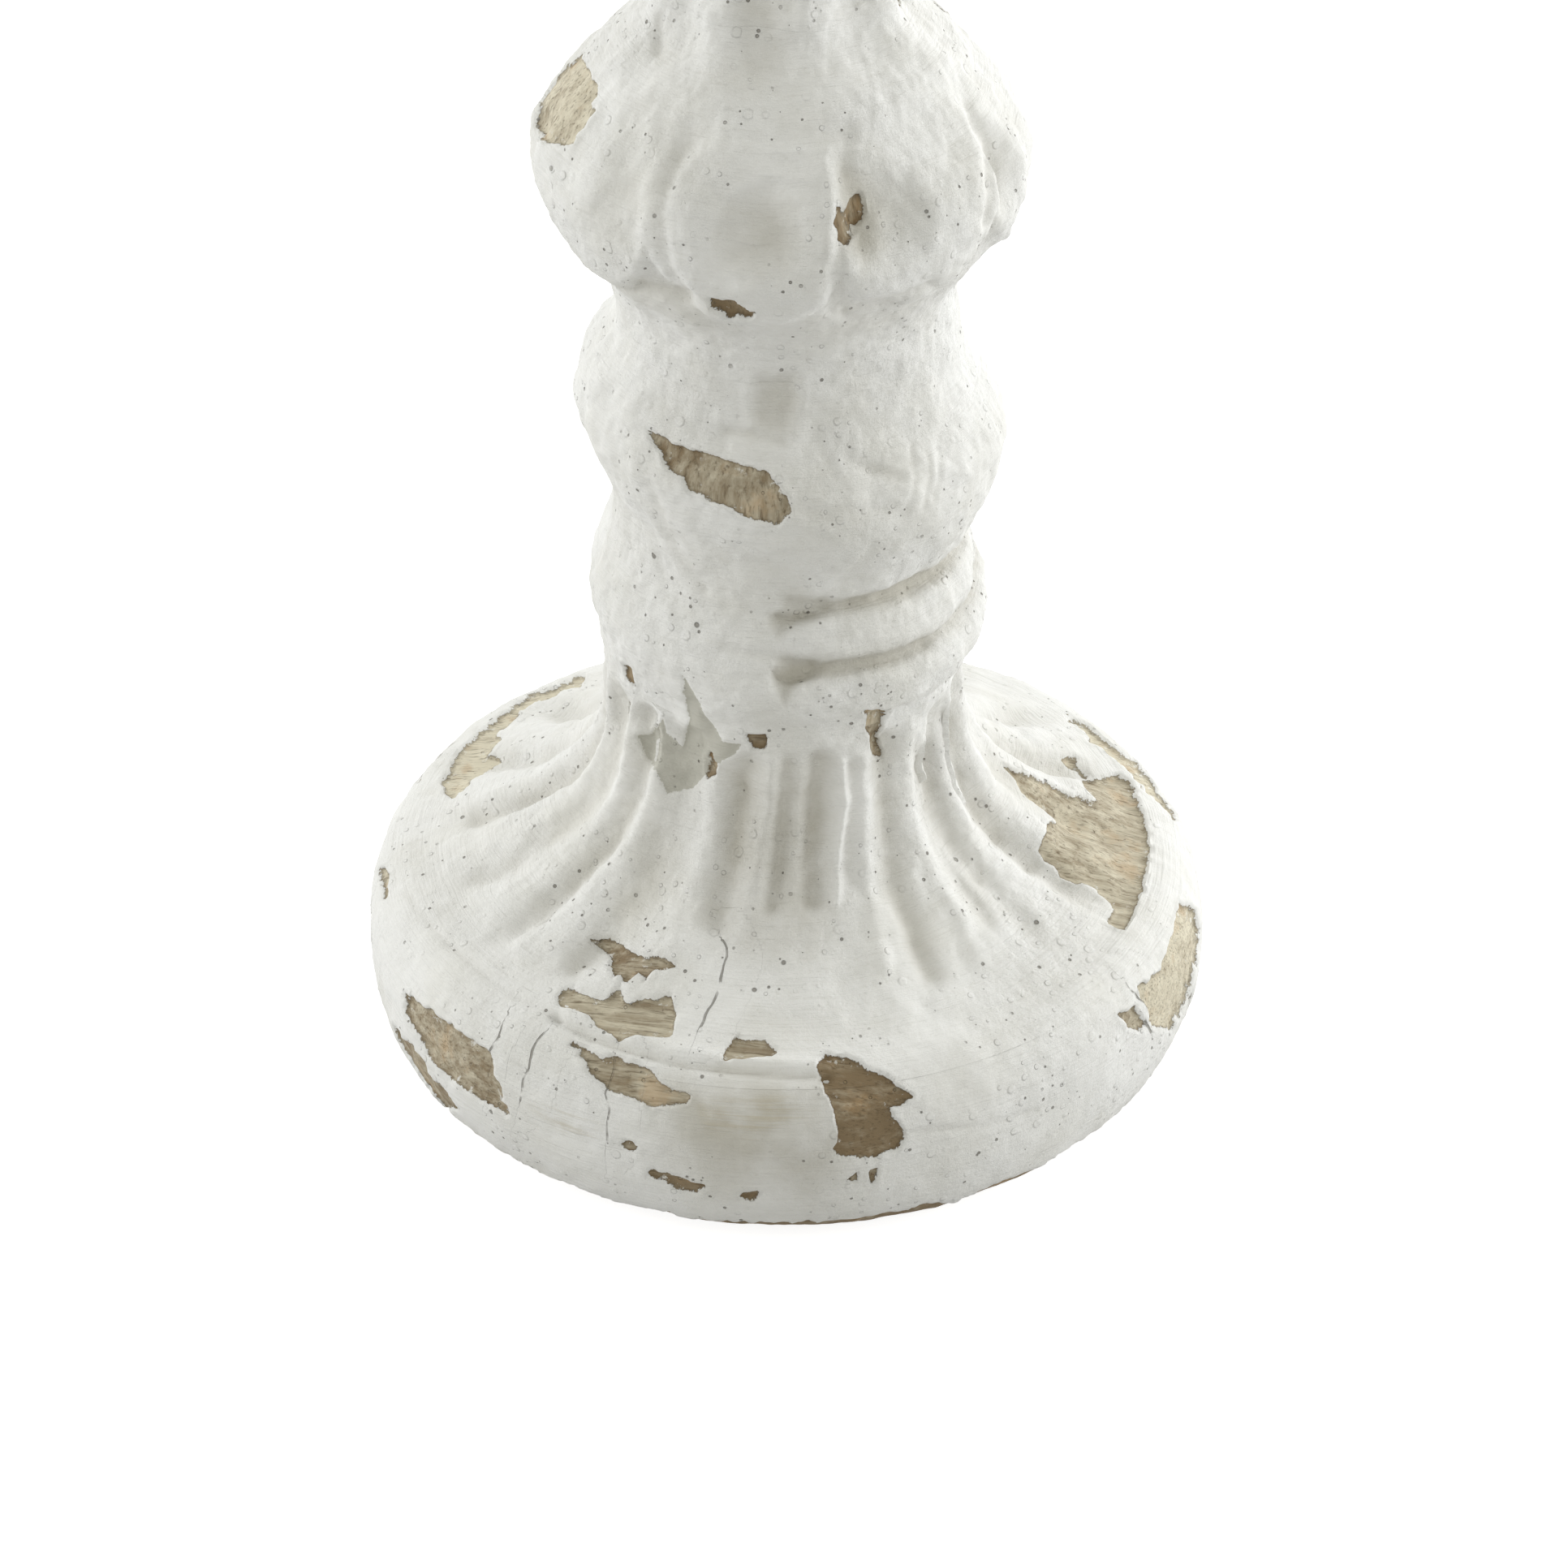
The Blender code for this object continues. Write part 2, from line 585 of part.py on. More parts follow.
def build():
    for old in list(bpy.data.objects):
        bpy.data.objects.remove(old)
    paint = make_material("chalk_paint", (0.80, 0.79, 0.76), 0.75)
    beech = make_material("dowel_wood", (0.55, 0.40, 0.25), 0.6)
    steel = make_material("zinc_steel", (0.55, 0.55, 0.56), 0.35, 1.0)
    iron = make_material("dark_iron", (0.09, 0.08, 0.075), 0.55, 0.9)
    felt = make_material("felt", (0.10, 0.085, 0.07), 0.95)
    make_pads(felt)
    make_plinth(paint)
    make_bell(paint)
    make_knot(paint)
    make_knop(paint)
    make_shaft(paint)
    make_cup(paint)
    for name, joint in (("knop_dowel", knop_z), ("shaft_dowel", shaft_z), ("cup_dowel", cup_z)):
        make_dowel(name, joint - SEAT_GAP / 2, beech)
    make_base_screw(steel)
    make_washer(steel)
    make_plate(iron)
    make_spike(iron)


build()
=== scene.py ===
"""The looks of a carved candlestick: thick, chipped white paint over wood, with iron fittings."""

import math

import bpy
import numpy as np
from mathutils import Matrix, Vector


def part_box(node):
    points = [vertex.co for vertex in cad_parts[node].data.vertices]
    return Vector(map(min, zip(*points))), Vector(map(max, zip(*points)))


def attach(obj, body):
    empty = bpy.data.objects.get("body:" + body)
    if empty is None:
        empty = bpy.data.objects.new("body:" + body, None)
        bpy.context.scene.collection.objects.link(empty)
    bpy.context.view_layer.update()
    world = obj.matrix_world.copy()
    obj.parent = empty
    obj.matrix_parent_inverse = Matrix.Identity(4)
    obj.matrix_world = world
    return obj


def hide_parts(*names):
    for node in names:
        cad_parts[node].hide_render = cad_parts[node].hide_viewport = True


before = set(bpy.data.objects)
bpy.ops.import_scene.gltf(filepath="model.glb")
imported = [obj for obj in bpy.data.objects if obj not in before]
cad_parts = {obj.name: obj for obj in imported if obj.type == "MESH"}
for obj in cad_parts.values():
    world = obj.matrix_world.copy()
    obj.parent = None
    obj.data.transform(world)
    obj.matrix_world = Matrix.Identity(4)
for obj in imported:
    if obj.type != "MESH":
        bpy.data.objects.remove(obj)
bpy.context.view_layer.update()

# Where the painted sections start, end and reach, in metres
SECTIONS = ("base_plinth", "base_bell", "stem_knot", "stem_knop", "stem_shaft", "candle_cup")
LOW = {name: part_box(name)[0][2] for name in SECTIONS}
HIGH = {name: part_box(name)[1][2] for name in SECTIONS}
WIDE = {name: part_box(name)[1][0] for name in SECTIONS}
JOINT_CLOSE = 0.00014  # each painted section runs this far into its joint, as paint bridges it
HOLE_CLEARANCE = 0.0003
TINY = 1e-9
MM_PER_METRE = 1000
NOISE_CELLS = 32  # the noise in the shapes repeats after so many features

# Camera, fitted to the photograph's frame
PHOTO_PIXELS = 1932
FOCAL_PIXELS = 6212.6
ELEVATION = math.radians(34.09)
DISTANCE = 0.900
AIM_ABOVE_FOOT = 0.0460
SENSOR_MM = 36.0
CLIP_START = 0.01
MM_PER_PIXEL = MM_PER_METRE * DISTANCE / FOCAL_PIXELS

# Fineness: segments round the axis, and rows along each run of an outline or each span of a curve
PLINTH_SEGMENTS = 960
BELL_SEGMENTS = 760
STEM_SEGMENTS = 540
UPPER_SEGMENTS = 420
IRON_SEGMENTS = 160
SMALL_SEGMENTS = 64
PLINTH_ROWS = {"foot": 5, "lower": 28, "upper": 50, "top": 8}
BELL_ROWS = {"side": 100, "skirt": 13, "skirt_under": 4}
STEM_ROWS = {"knot": 40, "knop": 32, "shaft": 34, "collar": 24}
CUP_ROWS = {"stem": 24, "flare": 60, "edge": 12, "rim": 14, "dish": 6}
PLATE_ROWS = {"floor": 30, "lip": 10, "lip_edge": 4, "lip_fall": 2, "bed": 24, "dimple_edge": 3, "dimple": 6}
SPIKE_ROWS = {"tip": 4, "shank": 4, "seat": 3, "flange": 8, "point": 30}
PAD_ROWS = 5
SHARP_ANGLE = math.radians(55)

# Plinth
FOOT_INSET = 0.0093
PLINTH_LOWER_RISE = 0.017
PLINTH_SQUARENESS = 2.8
PLINTH_TOP_RADIUS = 0.0637
COUNTERBORE_MARGIN = 0.001
COUNTERBORE_DEPTH = 0.010

# Bell, its flutes and the skirt of paint that hides its step
BELL_SWEEP = 3.7
BELL_STEP = 0.0014
BELL_TOP_RADIUS = 0.0316
FLUTE_COUNT = 18
FLUTE_PHASE = math.radians(8)
FLUTE_SLANT = math.radians(8)
FLUTE_DEPTH = 0.0023
FLUTE_BREADTH = (2.4, 0.8)  # at the foot and at the top: over 1 leaves broad ridges, under 1 narrow ones
FLUTE_BREADTH_TO = 0.45  # share of the bell's rise where the breadth at the top is reached
FLUTE_DRIFT = math.radians(8)  # how far the flutes stray round DRIFT_MIDDLE
DRIFT_MIDDLE = math.radians(-42)
DRIFT_SPREAD = math.radians(18)
FLUTE_UNEVEN = 0.25  # how much the depth varies from flute to flute, in waves round the bell
FLUTE_WAVES = 7
FLUTE_WAVE_START = 0.5
FLUTE_SOIL_AND_SHADE = 0.6  # how strongly grime and painted shade darken the deepest part of a flute, as a share of a deep hollow
BOWL_LOW = -0.02  # share of the bell's rise where most flutes end
BOWL_FRONT = 0.22  # how much higher those at the front end
BOWL_FRONT_MIDDLE = math.radians(-2)
BOWL_FRONT_SPREAD = math.radians(20)
BOWL_LENGTH = 0.12
FLUTE_TOP_FADE = 0.10
HAND_FLUTES = (math.radians(-20), math.radians(47))  # between these the flutes follow the photograph instead
HAND_FLUTES_FADE = math.radians(9)
SKIRT_REACH = 0.0085
SKIRT_HOLLOW = 1.4  # over 1 makes the skirt run out gently into the plinth
SKIRT_LIFT = 0.00008
SKIRT_SINK = 0.0014  # the skirt's underside lies this far down in the plinth, so that no chip cuts through it

# Knot
KNOT_RADII = (BELL_TOP_RADIUS, 0.0346, 0.0307, 0.0364, 0.0287)
KNOT_RISES = (0.0120, 0.0175, 0.0185, 0.0190)
KNOT_TILT = 0.0050
KNOT_LOW_SIDE = math.radians(45)
KNOT_FADE = 0.15
WRAP_START = math.radians(-6)
WRAP_ENTRY = math.radians(6)
WRAP_FULL = math.radians(90)
WRAP_SWEEP = math.radians(200)
WRAP_WIDTH = 0.0020
WRAP_DEPTH = 0.0018
WRAP_SPACING = 0.0108
NOTCH_DEPTH = 0.0022  # sharper waist on the right-hand side
NOTCH_ANGLE = math.radians(95)
NOTCH_SPREAD = math.radians(40)
NOTCH_WIDTH = 0.0026
# grime and painted shade in the waist notch
NOTCH_SOIL_AND_SHADE = 0.5

# Knop
KNOP_RADII = (0.0287, 0.0302, 0.0378, 0.0408, 0.0302, 0.0205)
KNOP_RISES = (0.0075, 0.0090, 0.0145, 0.0150, 0.0125)
PETAL_COUNT = 8
PETAL_PHASE = math.radians(-8.5)
PETAL_LOW = 0.0165
PETAL_RISE = 0.028
PETAL_CORNER = 0.0015  # depth of the notches between petals, at the hem
PETAL_CORNER_EDGE = (0.95, 1.2)  # where they start and are full, in half petals from a petal's middle
PETAL_CORNER_TOP = (0.3, -0.2)
# grime and painted shade in the notches between petals
PETAL_CORNER_SOIL_AND_SHADE = 0.3
PETAL_RIDGE = 0.0004
PETAL_RIDGE_POWER = 6
PETAL_RIDGE_LOW = (-0.1, 0.25)  # where a ridge starts and is full, in half petals as well
PETAL_RIDGE_HIGH = (1.1, 0.7)
PETAL_DISH = 0.0034
PETAL_DISH_WIDTH = 0.66
PETAL_DISH_HEIGHT = 0.60
PETAL_DISH_LIFT = 0.18
PETAL_DISH_LEAN = 0.9
PETAL_DISH_EDGE = (1.1, 0.25)
# grime and painted shade in the petals' hollows
PETAL_DISH_SOIL_AND_SHADE = 0.5
PETAL_LEFT = 0.35  # how deep the hollows of the left petals are, as a share of the others'
PETAL_LEFT_RANGE = (0.2, 0.7)  # how far left of the axis that starts and is full, as shares of the radius
PETAL_LIP = 0.22  # share of half a petal, from its edge, where its hollow fades out
NECK_RISE = 0.0125
# grime and painted shade on the neck's facets
NECK_SOIL_AND_SHADE = 0.2

# Shaft
SHAFT_RADII = (0.0205, 0.0185, 0.0262, 0.0205)
SHAFT_RISES = (0.012, 0.050, 0.010)
COLLAR_RADII = (0.0205, 0.0285, 0.0215)
COLLAR_RISE = 0.014
FACET_DEPTH = 0.0018
FACET_FADE = 0.008
# grime and painted shade on the shaft's facets
FACET_SOIL_AND_SHADE = 0.3

# Cup
CUP_STEM_RISE = 0.012
CUP_STEM_RADIUS = 0.0235
CUP_FLARE_RISE = 0.026
CUP_SWEEP = 2.4
CUP_UNDERCUT = 0.006
CUP_FLUTE_DEPTH = 0.0017
CUP_FLUTE_FADE = 0.2
RIM_WIDTH = 0.0135
DISH_DEPTH = 0.0085
DISH_SLOPE = 0.0035

# Iron plate, spike, base screw and pads
PLATE_THICKNESS = 0.0012
PLATE_LIP = 0.0030
PLATE_DIMPLE = 0.0004
PLATE_DIMPLE_MARGIN = 0.001
SPIKE_SHANK_RADIUS = 0.0024
SPIKE_SHANK_TAPER = 0.004
SPIKE_TIP_RADIUS = 0.0004
SPIKE_RADIUS = 0.0042
SPIKE_FLANGE_THICKNESS = 0.0016
SPIKE_FLANGE_SQUARENESS = 2.6
SCREW_RADIUS = 0.004
PAD_COUNT = 4

# Colours, linear
WHITE = (1.0, 1.0, 1.0)
PAINT_CLEAN = (0.86, 0.86, 0.85)
PAINT_WARM = (0.79, 0.785, 0.755)
# dirt colour of the strokes and grit, and colour of the grime and painted shade in hollows
PAINT_GRIME_AND_SHADE = (0.40, 0.37, 0.29)
UNDERCOAT_GREY = (0.52, 0.51, 0.45)
STAIN_TAN = (0.52, 0.47, 0.36)
PIT_DARK = (0.12, 0.10, 0.07)
WOOD_BROWN = (0.22, 0.16, 0.09)
WOOD_PALE = (0.70, 0.65, 0.52)
WOOD_ORANGE = (0.44, 0.27, 0.12)
# colour of the wood's pores, and of the painted shadow along a chip's rim
WOOD_PORE_AND_SHADOW = (0.10, 0.07, 0.035)
BEECH = (0.50, 0.36, 0.22)
IRON_DARK = (0.045, 0.042, 0.04)
IRON_BROWN = (0.10, 0.065, 0.045)
ZINC_DARK = (0.42, 0.42, 0.40)
ZINC_LIGHT = (0.66, 0.66, 0.64)
FELT_DARK = (0.035, 0.03, 0.025)
FELT_LIGHT = (0.11, 0.095, 0.08)

# Noise in the materials: scale per metre, or per streak or stroke, then detail and roughness
STREAK_NOISE = (1.0, 6.0, 0.7)
PORE_NOISE = (1.0, 3.0, 0.6)
BRUSH_NOISE = (1.0, 4.0, 0.6)
PATCH_NOISE = (140.0, 4.0, 0.6)
BLOTCH_NOISE = (55.0, 4.0, 0.6)
SANDY_NOISE = (38.0, 3.0, 0.55)
CLUSTER_NOISE = (75.0, 2.0, 0.55)
CRACK_NOISE = (260.0, 3.0, 0.55)
SPECK_NOISE = (520.0, 5.0, 0.7)
GRIT_NOISE = (900.0, 5.0, 0.7)
RAGGED_NOISE = (1500.0, 4.0, 0.6)
RUST_NOISE = (160.0, 5.0, 0.6)
ZINC_NOISE = (700.0, 4.0, 0.6)
FELT_NOISE = (2600.0, 6.0, 0.7)

# Soft masks in the materials: the values at which each starts and is full
PALE_RANGE = (-0.10, 1.05)
ORANGE_RANGE = (0.52, 0.70)
PORE_RANGE = (0.50, 0.30)
DOT_EDGE = (1.2, 0.7)
CLUSTER_RANGE = (0.42, 0.56)
CRACK_EDGE_MM = (0.22, 0.08)
CRACK_RANGE = (0.40, 0.56)
WARM_RANGE = (0.35, 0.75)
# where the blotches of grime and painted shade start and are full
GRIME_AND_SHADE_RANGE = (0.25, 0.60)
STROKE_RANGE = (0.45, 0.25)
GRIT_RANGE = (0.45, 0.25)
SANDY_RANGE = (0.38, 0.62)
SCUFF_RANGE = (0.85, 1.15)
STAIN_EDGE_MM = (-1.5, 1.5)
UNDERCOAT_EDGE_MM = (-0.06, 0.08)
BARE_EDGE_MM = (-0.06, 0.06)
# painted shadow along a chip's rim, full at its edge and gone further in
CHIP_SHADOW_MM = (0.50, 0.0)
SPECK_RANGE = (0.60, 0.66)
SPECK_REACH_MM = (2.2, 0.3)
RUST_RANGE = (0.45, 0.75)

# Layers over the clean paint: mask, how strongly it shows, and colour
PAINT_LAYERS = (
    ("strokes", 0.10, PAINT_GRIME_AND_SHADE),
    # grime with painted shade, darkening the hollows, cuts and areas of painted shade
    ("grime_and_shade", 0.45, PAINT_GRIME_AND_SHADE),
    ("grit", 0.15, PAINT_GRIME_AND_SHADE),
    ("undercoat", 0.9, UNDERCOAT_GREY),
    ("stain", 0.6, STAIN_TAN),
    ("flaws", 1.0, PIT_DARK),
)
GRIME_AND_SHADE_EVEN = 0.4  # share of the grime and painted shade that lies evenly. The rest lies in blotches
CHIP_RAGGED_MM = 0.9  # how far fine noise frays the edge of a chip

# How strongly flaws, specks and grain show, and how much streaks and patches tell in the wood
PINHOLE_DARK = 0.7
CRACK_DARK = 0.65
# how dark the painted shadow along a chip's rim is
CHIP_SHADOW_DARK = 0.45
SPECK_COVER = 0.8
STREAK_WEIGHT = 1.7
PATCH_WEIGHT = 1.1
ORANGE_COVER = 0.45
PORE_DARK = 0.6
BEECH_TONE = 0.5
BEECH_COVER = 0.5

# Dots in the paint: cells per metre, smallest and largest radius in cells, and share of cells with a dot
PINHOLES = ((250.0, 0.03, 0.12, 0.7), (600.0, 0.05, 0.20, 0.6))
BEADS = (430.0, 0.15, 0.40, 0.5)
DOT_CHOICE = 0.02  # softness of the choice of cells

# Fine relief in the materials: heights as shares of the paint's thickness
BRUSH_RISE = 0.35
SAND_RISE = 0.2
SANDY_PATCH_RISE = 0.3
BEAD_RISE = 0.3
GRAIN_RISE = 0.3
PIT_DEPTH = 0.7

# Fine relief of the unpainted materials: depth in metres and strength
IRON_DENTS = 210.0  # dents per metre
IRON_BUMP = (0.0005, 0.5)
ZINC_BUMP = (0.0001, 0.4)
BEECH_BUMP = (0.0002, 0.6)
FELT_BUMP = (0.0004, 1.0)

# How the materials shine
PAINT_FINISH = {"Roughness": 0.72, "Specular IOR Level": 0.3}
BEECH_FINISH = {"Roughness": 0.65}
FELT_FINISH = {"Roughness": 0.95, "Sheen Weight": 0.4}
IRON_FINISH = {"Metallic": 0.85}
IRON_ROUGHNESS = (0.38, 0.7)
ZINC_FINISH = {"Metallic": 1.0}
ZINC_ROUGHNESS = (0.25, 0.5)

# Studio
AMBIENT = 0.69
AMBIENT_COLOUR = (1.0, 0.995, 0.925)
FLOOR_WHITE = 0.6
FLOOR_ROUGHNESS = 0.9
FLOOR_GLOW = 0.85
FLOOR_HALF = 4.0
FLOOR_DROP = 0.0001  # the floor lies this far under the pads, so that the two never share a plane
LIGHT_AIM = (0.0, 0.0, 0.14)
LIGHT_COLOUR = (0.98, 0.99, 1.0)
LIGHTS = (
    ("left_softbox", (-1.00, 0.05, 0.32), (0.5, 0.6), 3.2),
    ("right_softbox", (1.00, 0.05, 0.32), (0.5, 0.6), 4.1),
    ("left_back_softbox", (-0.75, 0.70, 0.45), (0.5, 0.6), 2.2),
    ("right_back_softbox", (0.75, 0.70, 0.45), (0.5, 0.6), 3.6),
)

# How the stem strays sideways: how far, at which height, and over what spread, in metres
SWAY = ((0.0015, 0.112, 0.030), (-0.0011, 0.186, 0.022))

# How the plinth's rim strays from round: how far in metres, at which angle, and over what spread
WOBBLE = (
    (0.0012, math.radians(88), math.radians(40)),
    (0.0008, math.radians(-45), math.radians(30)),
    (-0.0010, math.radians(45), math.radians(30)),
)

# Hand carving and thick paint: feature size, height and seed of each layer, in metres
RELIEF = (
    (0.026, 0.0007, 7),
    (0.011, 0.00045, 2),
    (0.0050, 0.00038, 3),
    (0.0024, 0.00024, 4),
    (0.0012, 0.00013, 11),
)
RELIEF_AT_RIM = 0.55  # share of the relief on the plinth's rim, which is smoother than the rest
RIM_RADII = (0.058, 0.067)
STROKE_CLIMB = 1.7
STROKE_RADIUS = 0.010  # brush strokes are drawn out round the axis, as if the stem were this thin
STROKE_RELIEF = (0.0020, 0.00013, 9)
BRUSH_SIZES = (0.0024, 0.0024, 0.0009)

# Wood grain, drawn out up the stem and across the base: streak sizes in metres, and the grain's turn
GRAIN_UP = ((0.0022, 0.0022, 0.030), 0.0)
GRAIN_ACROSS = ((0.030, 0.0015, 0.0015), math.radians(-12))
PORE_SHARES = (0.30, 0.30, 0.30)  # sizes of pores as shares of a streak's

# Paint film
FLAKE_DEPTH = 0.0008
FLAKE_EDGE_MM = 0.30
FLAKE_LIP = 0.00016
FLAKE_LIP_MM = 0.55
UNDERCOAT_DEPTH = 0.0004
RAGGED = ((0.0034, 0.6, 8), (0.0014, 0.45, 12))  # feature size in metres, reach in millimetres and seed
CRACK_WANDER = (0.0025, 0.6, 31)
FIELD_LIMIT_MM = 6.0
HIDDEN_MM = -50.0

# Groups of neighbouring sections that share marks, as a mark may run over a joint
BASE = ("base_plinth", "base_bell")
NECK = ("base_bell", "stem_knot")
STEM = ("stem_knot", "stem_knop", "stem_shaft")

# Chips on the side that the photograph shows: how pale the wood is, then an outline in its pixels
CHIPS = {
    STEM: {
        "left_cheek": (0.75, [
            (716, 62), (729, 96), (732, 134), (707, 174), (671, 179), (656, 152), (667, 107),
        ]),
        "left_shoulder": (0.60, [(760, -4), (757, 12), (742, 24), (729, 36), (734, 18), (745, 4)]),
        "petal_pit": (0.10, [(1031, 256), (1042, 260), (1052, 286), (1044, 298), (1033, 295), (1028, 275)]),
        "petal_sliver": (0.10, [(1046, 243), (1060, 239), (1058, 265), (1054, 281), (1046, 262)]),
        "lower_slit": (0.05, [(872, 363), (900, 370), (929, 382), (927, 389), (903, 385), (878, 376)]),
        "front_scar": (0.38, [
            (793, 530), (838, 549), (876, 562), (940, 581), (970, 611), (973, 630), (958, 650), (936, 647),
            (902, 630), (868, 618), (842, 600), (819, 566),
        ]),
    },
    NECK: {
        "left_sliver": (0.20, [(770, 815), (776, 822), (780, 846), (774, 838)]),
        "top_right": (0.35, [(1063, 876), (1095, 872), (1084, 891), (1091, 937), (1076, 929), (1070, 899)]),
        "top_middle": (0.15, [(920, 905), (944, 903), (946, 922), (926, 925)]),
        "top_sliver": (0.15, [(876, 930), (882, 940), (882, 954), (872, 956)]),
    },
    BASE: {
        "back_left": (1.0, [
            (720, 830), (717, 842), (654, 868), (626, 888), (606, 914), (596, 926), (624, 934), (600, 946),
            (578, 964), (556, 980), (543, 964), (560, 932), (583, 903), (612, 886), (635, 864), (667, 850),
        ]),
        "right_flute": (0.62, [
            (1239, 945), (1302, 968), (1355, 990), (1330, 960), (1311, 937), (1325, 931), (1344, 960),
            (1378, 954), (1397, 971), (1417, 1030), (1410, 1085), (1385, 1144), (1366, 1135), (1374, 1118),
            (1348, 1092), (1306, 1079), (1279, 1048), (1298, 1013), (1262, 985),
        ]),
        "left_foot": (0.30, [
            (731, 1158), (752, 1152), (772, 1168), (800, 1178), (833, 1190), (812, 1192), (796, 1206),
            (784, 1198), (771, 1208), (764, 1196), (758, 1204), (753, 1178),
        ]),
        "left_run": (0.55, [
            (686, 1223), (705, 1218), (728, 1229), (744, 1236), (763, 1218), (772, 1234), (800, 1232),
            (826, 1228), (835, 1254), (828, 1275), (790, 1280), (763, 1282), (745, 1272), (722, 1254),
            (692, 1240),
        ]),
        "step_front": (0.45, [(892, 1305), (906, 1273), (940, 1282), (958, 1295), (938, 1304)]),
        "shoulder_left": (0.45, [
            (706, 1286), (722, 1290), (740, 1306), (758, 1302), (801, 1321), (826, 1343), (849, 1350),
            (844, 1359), (797, 1361), (765, 1352), (751, 1346), (722, 1314),
        ]),
        "rim_front": (0.02, [
            (1005, 1314), (1019, 1301), (1049, 1303), (1076, 1318), (1122, 1351), (1097, 1368), (1114, 1395),
            (1107, 1416), (1080, 1427), (1030, 1423), (1032, 1395), (1019, 1349),
        ]),
        "rim_left": (0.42, [
            (499, 1225), (530, 1246), (577, 1279), (601, 1300), (615, 1346), (624, 1375), (597, 1361),
            (560, 1334), (529, 1311), (504, 1254),
        ]),
        "rim_right": (0.80, [
            (1451, 1110), (1474, 1123), (1476, 1165), (1463, 1234), (1440, 1268), (1417, 1257), (1401, 1215),
            (1432, 1196), (1447, 1142),
        ]),
        "rim_right_low": (0.55, [(1378, 1250), (1398, 1236), (1412, 1262), (1405, 1276), (1390, 1266)]),
        "foot_speck": (0.15, [(754, 1411), (779, 1404), (788, 1414), (783, 1421)]),
        "foot_left": (0.10, [(788, 1443), (820, 1450), (875, 1460), (865, 1468), (830, 1464)]),
        "foot_front": (0.10, [(910, 1472), (935, 1467), (930, 1480)]),
        "foot_right": (0.30, [(1068, 1442), (1083, 1436), (1080, 1462), (1070, 1458)]),
        "foot_right_dot": (0.40, [(1046, 1452), (1058, 1442), (1054, 1454)]),
        "side_left": (0.35, [(486, 1264), (520, 1310), (565, 1368), (552, 1368), (500, 1320)]),
        "edge_left": (0.6, [(466, 1070), (478, 1074), (476, 1104), (470, 1110)]),
        "back_right": (1.0, [(1313, 881), (1340, 893), (1410, 950), (1457, 1013), (1447, 1010), (1395, 955)]),
        "back_left_edge": (0.8, [(556, 913), (546, 914), (505, 962), (512, 962)]),
    },
}

# Wear along the foot, and chips on the sides that the photograph does not show
FOOT_WEAR_MM = 3.6  # how far up the foot the wear reaches, give or take its noise
FOOT_WEAR_TONE = 0.05
FOOT_WEAR_REACH = 0.005  # below this height the paint is rubbed off rather than flaked
FOOT_PAINT = 0.2  # how thick the paint is there, as a share of the rest
FOOT_WEAR_NOISE = (0.006, 1.6, 21)  # feature size in metres, reach in millimetres and seed
UNSEEN_CHIP_SIZE = 0.020
UNSEEN_CHIPS = ((UNSEEN_CHIP_SIZE, 1.0, 5), (UNSEEN_CHIP_SIZE / 3, 0.4, 6))
UNSEEN_TONE_SEED = 15
UNSEEN_CHIP_LEVEL = 0.52
UNSEEN_CHIP_SLOPE_MM = 9.0
SEEN_COVER_MM = 12.0  # by so much these chips are held back where the photograph shows the surface
SEEN_FACING = (0.05, 0.25)  # how far a surface faces the camera where that starts and is full
SEEN_FROM = 0.03  # a mark lies on surfaces that face the camera by more than this
TONE_SPILL_MM = 2.0  # a chip's tone reaches this far past its outline

# Bare undercoat and tan scuffs, as outlines in the photograph's pixels
UNDERCOAT = {
    NECK: {
        "neck_patch": [
            (838, 833), (850, 850), (866, 876), (892, 912), (914, 917), (905, 930), (885, 940), (852, 972),
            (823, 976), (808, 950), (785, 906), (806, 903), (816, 885), (821, 905), (842, 920), (848, 890),
            (843, 860),
        ],
    },
}
STAINS = {
    BASE: {
        "rim_scuff": [(655, 1362), (700, 1368), (738, 1388), (732, 1402), (690, 1394)],
        "front_scuff": [(860, 1360), (960, 1348), (1010, 1372), (930, 1400), (870, 1392)],
    },
}

# Grime and painted shade: what hollows, cuts and the areas of painted shade add up to at most, and what a
# metre of depth of a cut adds
SOIL_AND_SHADE_LIMIT = 1.6
CUT_SOIL_AND_SHADE = 350

# Areas of painted shade that the photograph shows, in hollows and pits and on the front that faces away from
# the lamps: how dark, soft edge in millimetres, then pixels
PAINTED_SHADE_AREAS = {
    STEM: {
        "front_dish": (0.6, 11.0, [
            (890, 240), (950, 225), (985, 255), (980, 335), (940, 358), (895, 335), (878, 290),
        ]),
        "right_bowl": (0.9, 7.0, [
            (1037, 210), (1062, 215), (1080, 250), (1082, 305), (1060, 335), (1042, 305),
        ]),
        "chisel_flat": (0.45, 5.0, [(925, 455), (985, 455), (980, 535), (930, 525)]),
        "upper_pit": (0.5, 3.0, [(946, 760), (990, 750), (1005, 762), (960, 786)]),
        "lower_pit": (0.6, 3.0, [(950, 826), (1000, 822), (985, 842), (966, 866)]),
    },
    BASE: {
        "front_flutes": (0.8, 10.0, [
            (895, 950), (1025, 945), (1030, 1105), (1000, 1175), (925, 1185), (870, 1150),
        ]),
        "front_rim": (1.35, 14.0, [
            (835, 1340), (900, 1328), (1010, 1343), (1045, 1420), (1000, 1465), (900, 1460), (825, 1415),
        ]),
    },
}

